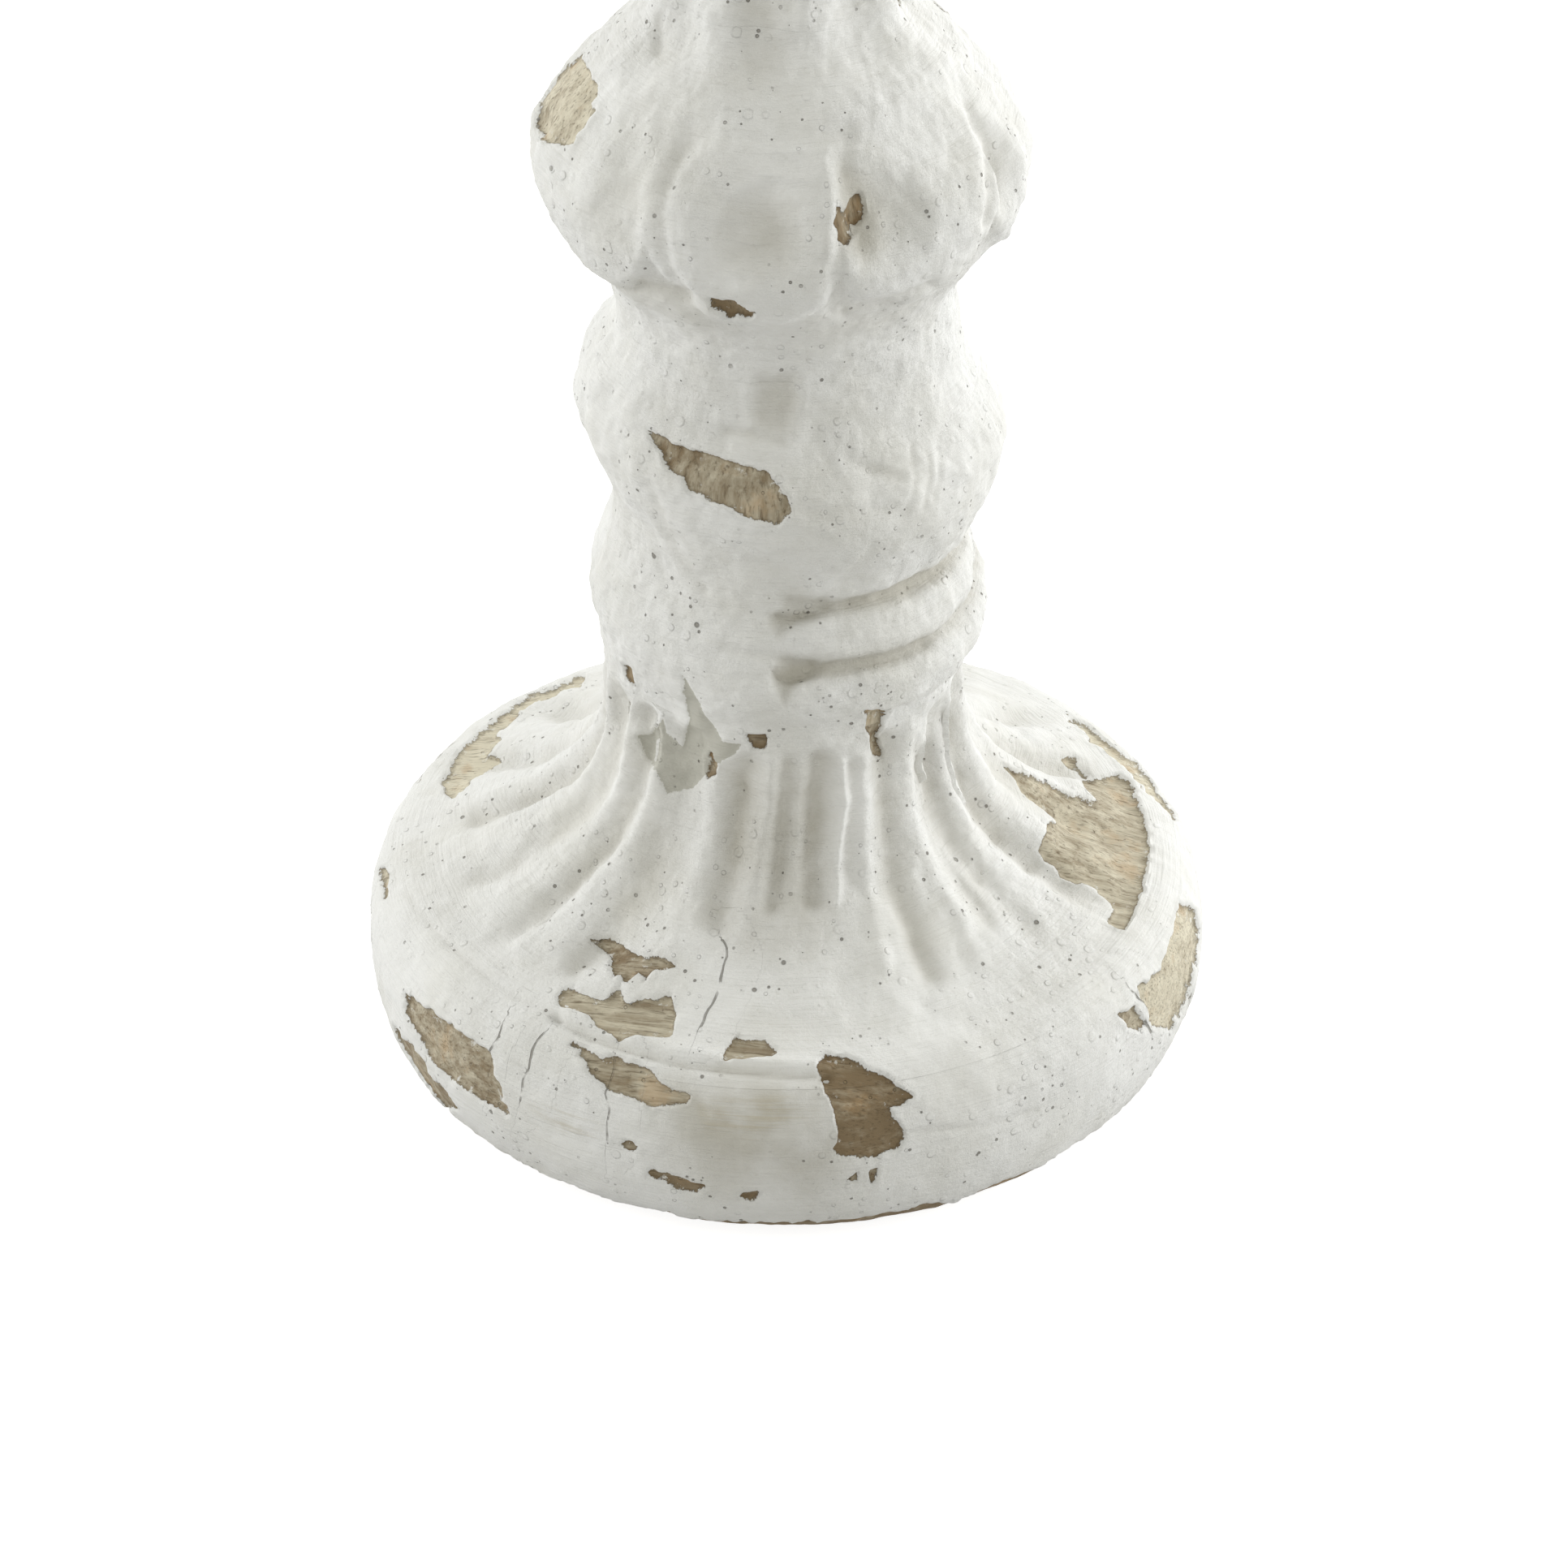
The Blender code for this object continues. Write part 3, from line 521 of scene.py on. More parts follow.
# Hand-cut lines that the photograph shows: height and width in millimetres, then pixels. A cut is negative
LINES = {
    STEM: {
        "front_brow": (0.35, 1.0, [(868, 178), (940, 176), (1020, 182), (1070, 192)]),
        "right_welt": (0.5, 2.4, [(1000, 152), (1050, 140), (1100, 115), (1150, 92)]),
        "front_ridge": (0.7, 1.6, [(1021, 192), (1026, 250), (1021, 310)]),
        "beside_ridge": (-0.9, 2.0, [(1043, 215), (1050, 262), (1046, 305)]),
        "front_arc": (0.35, 0.9, [(868, 300), (880, 262), (905, 232), (950, 217), (1000, 222)]),
        "front_left_edge": (-0.6, 1.9, [
            (846, 182), (828, 220), (817, 262), (819, 305), (834, 345), (848, 364),
        ]),
        "left_hem": (-0.8, 0.9, [(790, 352), (820, 360), (848, 366)]),
        "right_hem": (-0.9, 1.2, [(1042, 388), (1075, 374), (1110, 366), (1145, 350)]),
        "right_edge": (-0.8, 1.2, [(1190, 130), (1212, 175), (1219, 230), (1214, 275)]),
        "right_crease": (-0.25, 0.8, [(1090, 222), (1120, 245), (1142, 272)]),
        "neck_drip": (-0.7, 1.0, [(813, 18), (810, 62)]),
        "under_flat": (-0.8, 0.9, [(893, 531), (930, 536), (966, 546)]),
        "upper_groove": (-0.9, 1.4, [(955, 768), (1000, 756), (1090, 733), (1150, 708), (1177, 671)]),
        "upper_lip": (0.5, 1.1, [(1025, 737), (1060, 728), (1090, 717)]),
        "lower_groove": (-0.8, 1.3, [(958, 838), (1010, 828), (1095, 813), (1137, 794)]),
        "finger_crease": (-0.5, 1.0, [(893, 797), (930, 808), (1000, 819)]),
        "bead_edge": (-0.5, 1.6, [(975, 628), (1020, 636), (1065, 630), (1115, 630)]),
        "fold": (-0.7, 1.2, [(1046, 567), (1075, 577), (1107, 587)]),
        "left_flow": (-0.45, 1.0, [(798, 600), (820, 650), (845, 690), (870, 724)]),
        "lump": (0.8, 2.0, [(1160, 692), (1173, 668)]),
        "comb_a": (-0.25, 0.6, [(1122, 550), (1128, 590), (1118, 628)]),
        "comb_b": (-0.25, 0.6, [(1140, 548), (1146, 588), (1138, 624)]),
        "comb_c": (-0.25, 0.6, [(1156, 556), (1158, 590), (1150, 618)]),
    },
    BASE: {
        "flute_a": (-2.0, 2.7, [(918, 945), (906, 1000), (901, 1060), (884, 1130)]),
        "ridge_a": (0.5, 1.4, [(952, 935), (948, 1000), (936, 1050), (932, 1095), (912, 1155)]),
        "flute_b": (-1.4, 1.5, [(970, 945), (966, 1000), (960, 1060), (950, 1115)]),
        "flute_c": (-2.0, 2.0, [(1010, 940), (1004, 1000), (999, 1060), (1003, 1104)]),
        "front_crest": (0.9, 0.8, [(1036, 938), (1040, 985), (1033, 1040), (1030, 1112)]),
        "flute_d": (-0.8, 1.5, [(1051, 945), (1047, 1030), (1048, 1085)]),
        "ridge_d": (0.5, 1.4, [(1062, 935), (1063, 1040), (1073, 1120), (1092, 1190)]),
        "flute_e": (-2.0, 2.4, [(1088, 915), (1092, 1000), (1102, 1085), (1126, 1150), (1146, 1195)]),
        "ridge_e": (0.5, 1.7, [(1117, 905), (1122, 990), (1138, 1050), (1170, 1115), (1205, 1175)]),
        "flute_f": (-1.4, 2.2, [(1138, 930), (1148, 1000), (1178, 1075), (1216, 1128)]),
        "flute_g": (-1.1, 2.0, [(1166, 885), (1182, 955), (1225, 1029), (1270, 1066)]),
        "right_crease": (-0.5, 0.6, [(1183, 950), (1190, 982), (1208, 1012), (1232, 1034)]),
        "loop_drip": (0.9, 1.2, [(812, 868), (816, 884), (804, 899), (788, 897)]),
        "tear": (-0.7, 1.2, [(760, 865), (763, 885)]),
        "foot_dip": (-0.8, 1.8, [(708, 1194), (722, 1178), (742, 1168)]),
        "ring_scratch": (-0.45, 0.6, [(500, 1100), (540, 1150), (600, 1203), (640, 1230), (690, 1254)]),
        "ring_groove": (-1.2, 0.8, [
            (685, 1254), (730, 1278), (790, 1297), (831, 1308), (880, 1316), (942, 1322), (1020, 1328),
        ]),
        "ring_lip": (0.6, 1.1, [
            (700, 1246), (735, 1262), (790, 1282), (831, 1293), (880, 1302), (1020, 1313),
        ]),
        "rim_step": (-0.35, 0.6, [(1112, 1397), (1160, 1392), (1215, 1387), (1275, 1368)]),
        "right_dip": (-0.35, 2.2, [(1215, 1275), (1315, 1205), (1365, 1150)]),
    },
}

# Areas cut down or raised that the photograph shows: height and soft edge in millimetres, then pixels
AREAS = {
    STEM: {
        "front_lobe": (0.8, 1.6, [
            (846, 182), (935, 177), (1020, 182), (1030, 250), (1026, 320), (1020, 388), (950, 402),
            (880, 392), (846, 362), (826, 330), (817, 262), (828, 220),
        ]),
        "right_lobe": (0.7, 1.8, [
            (1046, 160), (1100, 120), (1150, 102), (1190, 130), (1214, 180), (1220, 240), (1212, 290),
            (1180, 338), (1110, 366), (1045, 388), (1034, 330), (1038, 240),
        ]),
        "neck_facet": (-0.7, 2.4, [
            (908, -40), (905, 40), (909, 84), (925, 95), (972, 95), (988, 60), (992, -40),
        ]),
        "chisel_flat": (-1.0, 1.8, [(930, 464), (980, 460), (985, 500), (972, 538), (945, 535), (925, 515)]),
        "upper_pit": (-1.4, 1.6, [(944, 758), (990, 748), (1024, 748), (990, 772), (956, 786)]),
        "lower_pit": (-1.4, 1.6, [(948, 822), (1000, 820), (1030, 816), (985, 842), (968, 870), (954, 852)]),
    },
}

# Fine cracks in the paint, in the photograph's pixels
CRACKS = {
    BASE: {
        "foot_crack": [(890, 1158), (899, 1180), (885, 1215), (868, 1250), (862, 1266)],
        "below_shoulder": [(757, 1302), (748, 1345), (747, 1410)],
        "left_outer": [(625, 1250), (605, 1295), (600, 1330)],
        "left_inner": [(672, 1272), (652, 1305), (640, 1355)],
        "right_fold": [(1388, 1212), (1408, 1232), (1416, 1272)],
    },
}


def smoothstep(low, high, value):
    share = np.clip((value - low) / (high - low), 0.0, 1.0)
    return share * share * (3 - 2 * share)


def hump(value, spread):
    """1 at 0 and softly down to 0 a few spreads away."""
    return np.exp(-((value / spread) ** 2))


def turn_from(angle, start):
    """How far angle lies from start, from minus half a turn to half a turn."""
    return (angle - start + math.pi) % (2 * math.pi) - math.pi


def ends_fade(share, length):
    return smoothstep(0.0, length, share) * smoothstep(0.0, length, 1 - share)


def within_part(angle, count, phase):
    """Where an angle falls in its own one of count equal parts: -1 to 1, with 0 in the middle."""
    part = 2 * math.pi / count
    return 2 * (((angle - phase + part / 2) % part) / part) - 1


def value_noise(points, size, seed):
    """Smooth noise from -1 to 1 at points in metres, with features about size across."""
    lattice = np.random.default_rng(seed).uniform(-1.0, 1.0, (NOISE_CELLS, NOISE_CELLS, NOISE_CELLS))
    scaled = points / size
    cell = np.floor(scaled).astype(int)
    part = scaled - cell
    part = part * part * (3 - 2 * part)
    total = np.zeros(points.shape[:-1])
    for corner in np.ndindex(2, 2, 2):
        index = (cell + corner) % NOISE_CELLS
        weight = np.prod(np.where(np.array(corner) == 1, part, 1 - part), axis=-1)
        total += weight * lattice[index[..., 0], index[..., 1], index[..., 2]]
    return total


def layered(points, *layers):
    """The sum of some layers of noise, each given by its feature size, height and seed."""
    return sum(height * value_noise(points, size, seed) for size, height, seed in layers)


def blend(before, start, end, after, t):
    linear = end - before
    square = 2 * before - 5 * start + 4 * end - after
    cube = 3 * start - before - 3 * end + after
    return 0.5 * (2 * start + linear * t + square * t**2 + cube * t**3)


def curve_through(radii, rises, steps):
    """A smooth outline through the radii, each the next rise above the last, upright at both ends."""
    points = np.column_stack([radii, np.concatenate([[0.0], np.cumsum(rises)])])
    first = (points[1, 0], 2 * points[0, 1] - points[1, 1])
    last = (points[-2, 0], 2 * points[-1, 1] - points[-2, 1])
    knots = np.vstack([first, points, last])
    t = np.arange(steps)[:, None] / steps
    spans = [blend(*knots[i : i + 4], t) for i in range(len(points) - 1)]
    return np.vstack([*spans, points[-1:]])


def quarter(start, corner, end, steps, power=2.0):
    """A quarter of a superellipse from start to end that bulges towards corner, ends included."""
    start, corner, end = np.array(start), np.array(corner), np.array(end)
    angle = np.linspace(0.0, math.pi / 2, steps + 1)[:, None]
    along = np.sin(angle) ** (2 / power)
    back = 1 - np.cos(angle) ** (2 / power)
    return start + (corner - start) * along + (end - corner) * back


def straight(start, end, steps):
    return np.linspace(start, end, steps + 1)


def path_of(*runs):
    """Joins outline runs, and drops each run's first point where it repeats the last one."""
    return np.vstack([runs[0], *(run[1:] for run in runs[1:])])


def outward(outline):
    """Unit normals of an outline that runs up its outer side. The two ends point straight out."""
    slope = np.gradient(outline, axis=0)
    normal = np.column_stack([slope[:, 1], -slope[:, 0]])
    normal /= np.linalg.norm(normal, axis=1, keepdims=True) + TINY
    normal[[0, -1]] = (1.0, 0.0)
    return normal


def round_angles(segments):
    return np.linspace(0.0, 2 * math.pi, segments, endpoint=False)[None, :]


def set_round(radius, angle, height):
    """Points at a radius, an angle from the front and a height."""
    radius, angle, height = np.broadcast_arrays(radius, angle, height)
    return np.stack([radius * np.sin(angle), -radius * np.cos(angle), height], axis=-1)


def revolve(outline, segments):
    outline = np.array(outline)
    return set_round(outline[:, :1], round_angles(segments), outline[:, 1:])


def carved(outline, segments, carve):
    """Rows of points along a turned outline, and how deep in a hollow each point lies, from 0 to 1, which
    sets the grime and painted shade there.

    carve(angle, height) gives how far to push out along the outline's normal, and the hollow, which is
    darkened with grime and painted shade.
    """
    angle = round_angles(segments)
    push, hollow = carve(angle, outline[:, 1:])
    normal = outward(outline)
    points = set_round(outline[:, :1] + push * normal[:, :1], angle, outline[:, 1:] + push * normal[:, 1:])
    return points, np.clip(hollow, 0.0, 1.0) + np.zeros(points.shape[:2])


def make_piece(name, points, closed=False):
    """A mesh from rows of points: a closed loop of rows, or rows with a flat cap at each end."""
    rows, segments = points.shape[:2]
    index = np.arange(rows * segments).reshape(rows, segments)
    upper = np.roll(index, -1, axis=0) if closed else index[1:]
    lower = index if closed else index[:-1]
    quads = np.stack([lower, np.roll(lower, -1, axis=1), np.roll(upper, -1, axis=1), upper], axis=-1)
    faces = quads.reshape(-1, 4).tolist()
    if not closed:
        faces += [index[0, ::-1].tolist(), index[-1].tolist()]
    mesh = bpy.data.meshes.new(name)
    mesh.from_pydata(points.reshape(-1, 3).tolist(), [], faces)
    mesh.shade_smooth()
    mesh.set_sharp_from_angle(angle=SHARP_ANGLE)
    piece = bpy.data.objects.new(name, mesh)
    bpy.context.scene.collection.objects.link(piece)
    return piece


def store(mesh, name, values):
    """Keeps one number, or one vector, for each point of a mesh."""
    kind, field = ("FLOAT_VECTOR", "vector") if values.ndim == 3 else ("FLOAT", "value")
    layer = mesh.attributes.new(name, kind, "POINT")
    layer.data.foreach_set(field, np.ascontiguousarray(values.ravel(), dtype=np.float32))


# The camera's own axes, used to place marks by the photograph's pixels
forward = np.array((0.0, math.cos(ELEVATION), -math.sin(ELEVATION)))
upward = np.array((0.0, math.sin(ELEVATION), math.cos(ELEVATION)))
aim = np.array((0.0, 0.0, LOW["base_plinth"] + AIM_ABOVE_FOOT))
eye = aim - DISTANCE * forward


def to_pixels(points):
    offset = points - eye
    depth = offset @ forward
    middle = PHOTO_PIXELS / 2
    across = middle + FOCAL_PIXELS * offset[..., 0] / depth
    down = middle - FOCAL_PIXELS * (offset @ upward) / depth
    return np.stack([across, down], axis=-1)


def to_segment(pixels, start, end):
    """Distance in pixels from each pixel to one segment, positive on its left and negative on its right."""
    edge = end - start
    offset = pixels - start
    along = np.clip(offset @ edge / (edge @ edge), 0.0, 1.0)
    distance = np.linalg.norm(offset - along[..., None] * edge, axis=-1)
    side = edge[0] * offset[..., 1] - edge[1] * offset[..., 0]
    return np.where(side < 0, -distance, distance)


def to_line(pixels, corners):
    """Signed distance in millimetres to a line through some corners."""
    corners = np.array(corners, dtype=float)
    nearest = np.full(pixels.shape[:-1], np.inf)
    for start, end in zip(corners, corners[1:]):
        distance = to_segment(pixels, start, end)
        nearest = np.where(np.abs(distance) < np.abs(nearest), distance, nearest)
    return nearest * MM_PER_PIXEL


def into_outline(pixels, corners):
    """Distance in millimetres to an outline, positive inside it."""
    corners = np.array(corners, dtype=float)
    inside = np.zeros(pixels.shape[:-1], dtype=bool)
    for start, end in zip(corners, np.roll(corners, -1, axis=0)):
        rise = end[1] - start[1]
        crosses = (start[1] > pixels[..., 1]) != (end[1] > pixels[..., 1])
        crossing = start[0] + (pixels[..., 1] - start[1]) * (end[0] - start[0]) / (rise if rise else TINY)
        inside ^= crosses & (pixels[..., 0] < crossing)
    distance = np.abs(to_line(pixels, [*corners, corners[0]]))
    return np.where(inside, distance, -distance)


def marks_on(table, node):
    """The marks of a table that may lie on a node."""
    return [mark for nodes, marks in table.items() if node in nodes for mark in marks.values()]


def limited(field):
    return np.clip(field, -FIELD_LIMIT_MM, FIELD_LIMIT_MM)


def deepest(pixels, seen, outlines):
    """The largest distance into any of some outlines, where the camera sees the point."""
    field = np.full(seen.shape, HIDDEN_MM)
    for corners in outlines:
        field = np.maximum(field, into_outline(pixels, corners))
    return np.where(seen, field, HIDDEN_MM)


def foot_wear(points):
    """How far each point lies inside the wear along the foot, in millimetres."""
    above_foot = MM_PER_METRE * (points[..., 2] - LOW["base_plinth"])
    return FOOT_WEAR_MM - above_foot + layered(points, FOOT_WEAR_NOISE)


def chip_fields(points, pixels, seen, facing, node):
    """How far each point lies inside a chip, in millimetres, and how pale the wood is there."""
    wear = layered(points, *UNSEEN_CHIPS)
    in_photo = smoothstep(*SEEN_FACING, facing) * (pixels[..., 1] > 0)
    chip = (wear - UNSEEN_CHIP_LEVEL) * UNSEEN_CHIP_SLOPE_MM - SEEN_COVER_MM * in_photo
    pale = 0.5 + 0.5 * value_noise(points, UNSEEN_CHIP_SIZE, UNSEEN_TONE_SEED)
    for tone, corners in marks_on(CHIPS, node):
        inside = np.where(seen, into_outline(pixels, corners), HIDDEN_MM)
        pale = np.where(inside > np.maximum(chip, -TONE_SPILL_MM), tone, pale)
        chip = np.maximum(chip, inside)
    foot = foot_wear(points)
    pale = np.where(foot > chip, FOOT_WEAR_TONE, pale)
    chip = np.maximum(chip, foot) + layered(points, *RAGGED)
    return limited(chip), pale


def hand_cuts(pixels, seen, node):
    """Height in metres of the hand-cut lines and areas that the photograph shows."""
    height = np.zeros(seen.shape)
    for tall, width, corners in marks_on(LINES, node):
        height += tall * hump(to_line(pixels, corners), width)
    for tall, edge, corners in marks_on(AREAS, node):
        height += tall * smoothstep(-edge / 2, edge, into_outline(pixels, corners))
    return np.where(seen, height, 0.0) / MM_PER_METRE


def painted_shade_field(pixels, seen, node):
    """How strongly shade is painted in the areas of painted shade, where 1 is as dark as a deep hollow."""
    soil_and_shade = np.zeros(seen.shape)
    for strength, edge, corners in marks_on(PAINTED_SHADE_AREAS, node):
        soil_and_shade += strength * smoothstep(-edge / 2, edge / 2, into_outline(pixels, corners))
    return np.where(seen, soil_and_shade, 0.0)


def crack_field(points, pixels, seen, node):
    """Signed distance in millimetres to the nearest crack."""
    field = np.full(seen.shape, FIELD_LIMIT_MM)
    for corners in marks_on(CRACKS, node):
        distance = to_line(pixels, corners)
        field = np.where(np.abs(distance) < np.abs(field), distance, field)
    return np.where(seen, field, FIELD_LIMIT_MM) + layered(points, CRACK_WANDER)


def surface_normals(points):
    along = np.gradient(points, axis=0)
    around = np.roll(points, -1, axis=1) - np.roll(points, 1, axis=1)
    normal = np.cross(around, along)
    return normal / (np.linalg.norm(normal, axis=-1, keepdims=True) + TINY)


def stroke_space(points):
    """Coordinates in which brush strokes are drawn out round the axis, the same for all sections."""
    angle = np.arctan2(points[..., 0], -points[..., 1])
    radius = np.hypot(points[..., 0], points[..., 1])
    return set_round(STROKE_RADIUS, angle, STROKE_CLIMB * points[..., 2] - radius)


def paint_relief(points, strokes):
    """Height in metres of the lumps and brush strokes in the paint."""
    relief = layered(strokes, STROKE_RELIEF) + layered(points, *RELIEF)
    at_rim = smoothstep(*RIM_RADII, np.hypot(points[..., 0], points[..., 1]))
    return relief * (1 - (1 - RELIEF_AT_RIM) * at_rim)


def film_steps(points, chip, undercoat):
    """Height in metres of the steps down into chips and to the undercoat, with a lip round each chip."""
    rubbed = smoothstep(FOOT_WEAR_REACH, 0.0, points[..., 2] - LOW["base_plinth"])
    thickness = FLAKE_DEPTH * (1 - (1 - FOOT_PAINT) * rubbed)
    lip = FLAKE_LIP * hump(chip + FLAKE_LIP_MM, FLAKE_LIP_MM / 2)
    flake = thickness * smoothstep(-FLAKE_EDGE_MM, FLAKE_EDGE_MM, chip)
    return lip - flake - UNDERCOAT_DEPTH * smoothstep(-FLAKE_EDGE_MM, FLAKE_EDGE_MM, undercoat)


def sway(points):
    """Sideways shift of each point of the stem."""
    shift = np.zeros_like(points)
    for far, middle, spread in SWAY:
        shift[..., 0] += far * hump(points[..., 2] - middle, spread)
    return shift


def distress(points, hollow, node):
    """One section with lumpy paint, hand cuts and chips: its new points, and the fields its paint reads."""
    points = points + sway(points)
    normals = surface_normals(points)
    to_eye = eye - points
    facing = np.sum(normals * to_eye, axis=-1) / np.linalg.norm(to_eye, axis=-1)
    seen = facing > SEEN_FROM
    pixels = to_pixels(points)
    chip, pale = chip_fields(points, pixels, seen, facing, node)
    undercoat = deepest(pixels, seen, marks_on(UNDERCOAT, node))
    strokes = stroke_space(points)
    cuts = hand_cuts(pixels, seen, node)
    # hollows, cuts and the areas of painted shade add up to the grime and painted shade
    soil_and_shade = hollow - CUT_SOIL_AND_SHADE * cuts + painted_shade_field(pixels, seen, node)
    height = paint_relief(points, strokes) + cuts + film_steps(points, chip, undercoat)
    fields = {
        "chip": chip,
        "pale": pale,
        "undercoat": limited(undercoat),
        "stain": limited(deepest(pixels, seen, marks_on(STAINS, node))),
        "crack": crack_field(points, pixels, seen, node),
        "hollow": np.clip(soil_and_shade, 0.0, SOIL_AND_SHADE_LIMIT),
        "stroke": strokes,
    }
    return points + normals * height[..., None], fields


def plain_fields(shape):
    """The fields of unpainted rows, such as those of a hole."""
    fields = {name: np.full(shape, -FIELD_LIMIT_MM) for name in ("chip", "undercoat", "stain")}
    fields["crack"] = np.full(shape, FIELD_LIMIT_MM)
    fields["pale"] = np.zeros(shape)
    fields["hollow"] = np.zeros(shape)
    fields["stroke"] = np.zeros((*shape, 3))
    return fields


def make_section(name, node, side, material, before=None, after=None, closed=False):
    """One painted section: its carved side, with plain rows before and after it on the same outline."""
    runs = [distress(*side, node)]
    if before is not None:
        runs.insert(0, (before, plain_fields(before.shape[:2])))
    if after is not None:
        runs.append((after, plain_fields(after.shape[:2])))
    piece = make_piece(name, np.concatenate([points for points, _ in runs]), closed)
    for field in runs[0][1]:
        store(piece.data, field, np.concatenate([fields[field] for _, fields in runs]))
    place(piece, node, material)


def place(piece, node, material):
    piece.data.materials.append(material)
    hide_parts(node)
    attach(piece, "root")


def hole_radius(node):
    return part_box(node)[1][0] + HOLE_CLEARANCE


def socket_below(node, face, segments):
    """Rows of a blind hole at a section's low end, for the part of a dowel that goes up into it."""
    radius = hole_radius(node)
    return revolve([(radius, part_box(node)[1][2]), (radius, face)], segments)


def socket_above(node, face, segments):
    radius = hole_radius(node)
    return revolve([(radius, face), (radius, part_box(node)[0][2])], segments)


def side_ends(node):
    """Heights of a section's two ends, each run a little into its joint."""
    return LOW[node] - JOINT_CLOSE, HIGH[node] + JOINT_CLOSE


def stretched(outline, node):
    """An outline that starts at height 0, set on its section with its ends run into the joints."""
    lifted = outline + (0.0, LOW[node])
    lifted[0, 1], lifted[-1, 1] = side_ends(node)
    return lifted


def plinth_carve(angle, height):
    """A rim that is not quite round."""
    widest = LOW["base_plinth"] + PLINTH_LOWER_RISE
    at_rim = smoothstep(HIGH["base_plinth"], widest, height) * smoothstep(LOW["base_plinth"], widest, height)
    stray = sum(far * hump(turn_from(angle, middle), spread) for far, middle, spread in WOBBLE)
    return stray * at_rim, np.zeros(at_rim.shape)


def make_plinth(material):
    low, top = LOW["base_plinth"], HIGH["base_plinth"] + JOINT_CLOSE
    wide = WIDE["base_plinth"]
    widest = low + PLINTH_LOWER_RISE
    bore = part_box("base_washer")[1][0] + COUNTERBORE_MARGIN
    shank = SCREW_RADIUS + HOLE_CLEARANCE
    ceiling = low + COUNTERBORE_DEPTH
    foot = wide - FOOT_INSET
    shoulder = (PLINTH_TOP_RADIUS, top)
    underside = revolve([(shank, ceiling), (bore, ceiling), (bore, low), (foot / 2, low)], PLINTH_SEGMENTS)
    outline = path_of(
        straight((foot - FOOT_INSET, low), (foot, low), PLINTH_ROWS["foot"]),
        quarter((foot, low), (wide, low), (wide, widest), PLINTH_ROWS["lower"]),
        quarter((wide, widest), (wide, top), shoulder, PLINTH_ROWS["upper"], PLINTH_SQUARENESS),
        straight(shoulder, (WIDE["base_bell"], top), PLINTH_ROWS["top"]),
    )
    side = carved(outline, PLINTH_SEGMENTS, plinth_carve)
    inner = revolve([(shank, top)], PLINTH_SEGMENTS)
    make_section("painted_plinth", "base_plinth", side, material, underside, inner, closed=True)


def plinth_height(radius):
    """Height of the plinth's upper surface at a radius outside the bell."""
    widest, top = LOW["base_plinth"] + PLINTH_LOWER_RISE, HIGH["base_plinth"] + JOINT_CLOSE
    share = np.clip((radius - PLINTH_TOP_RADIUS) / (WIDE["base_plinth"] - PLINTH_TOP_RADIUS), 0.0, 1.0)
    return widest + (top - widest) * (1 - share**PLINTH_SQUARENESS) ** (1 / PLINTH_SQUARENESS)


def by_hand(angle):
    """1 at the front of the bell, where the flutes follow the photograph, and 0 all round the rest."""
    turn = turn_from(angle, 0.0)
    first, last = HAND_FLUTES
    return smoothstep(first - HAND_FLUTES_FADE, first, turn) * smoothstep(last + HAND_FLUTES_FADE, last, turn)


def bell_carve(angle, height):
    """Uneven flutes that lean, end in bowls below and leave narrow ridges between them."""
    share = (height - LOW["base_bell"] - BELL_STEP) / (HIGH["base_bell"] - LOW["base_bell"] - BELL_STEP)
    drift = FLUTE_DRIFT * hump(turn_from(angle, DRIFT_MIDDLE), DRIFT_SPREAD)
    leaning = angle + drift - FLUTE_SLANT * share
    across = within_part(leaning, FLUTE_COUNT, FLUTE_PHASE)
    foot_breadth, top_breadth = FLUTE_BREADTH
    breadth = top_breadth + (foot_breadth - top_breadth) * smoothstep(FLUTE_BREADTH_TO, 0.0, share)
    groove = (0.5 + 0.5 * np.cos(math.pi * across)) ** breadth
    uneven = 1 + FLUTE_UNEVEN * np.sin(FLUTE_WAVES * leaning + FLUTE_WAVE_START)
    bowl = BOWL_LOW + BOWL_FRONT * hump(turn_from(angle, BOWL_FRONT_MIDDLE), BOWL_FRONT_SPREAD)
    ends = smoothstep(bowl, bowl + BOWL_LENGTH, share) * smoothstep(1.0, 1 - FLUTE_TOP_FADE, share)
    cut = groove * uneven * ends * (1 - by_hand(angle))
    # the second value darkens the flutes with grime and painted shade
    return -FLUTE_DEPTH * cut, FLUTE_SOIL_AND_SHADE * cut


def skirt(share, angle):
    """Points of the paint skirt, from its outer edge on the plinth (0) to the bell's own edge (1)."""
    radius = WIDE["base_bell"] + SKIRT_REACH * (1 - share)
    ground = plinth_height(radius) + SKIRT_LIFT
    return set_round(radius, angle, ground + (LOW["base_bell"] + BELL_STEP - ground) * share**SKIRT_HOLLOW)


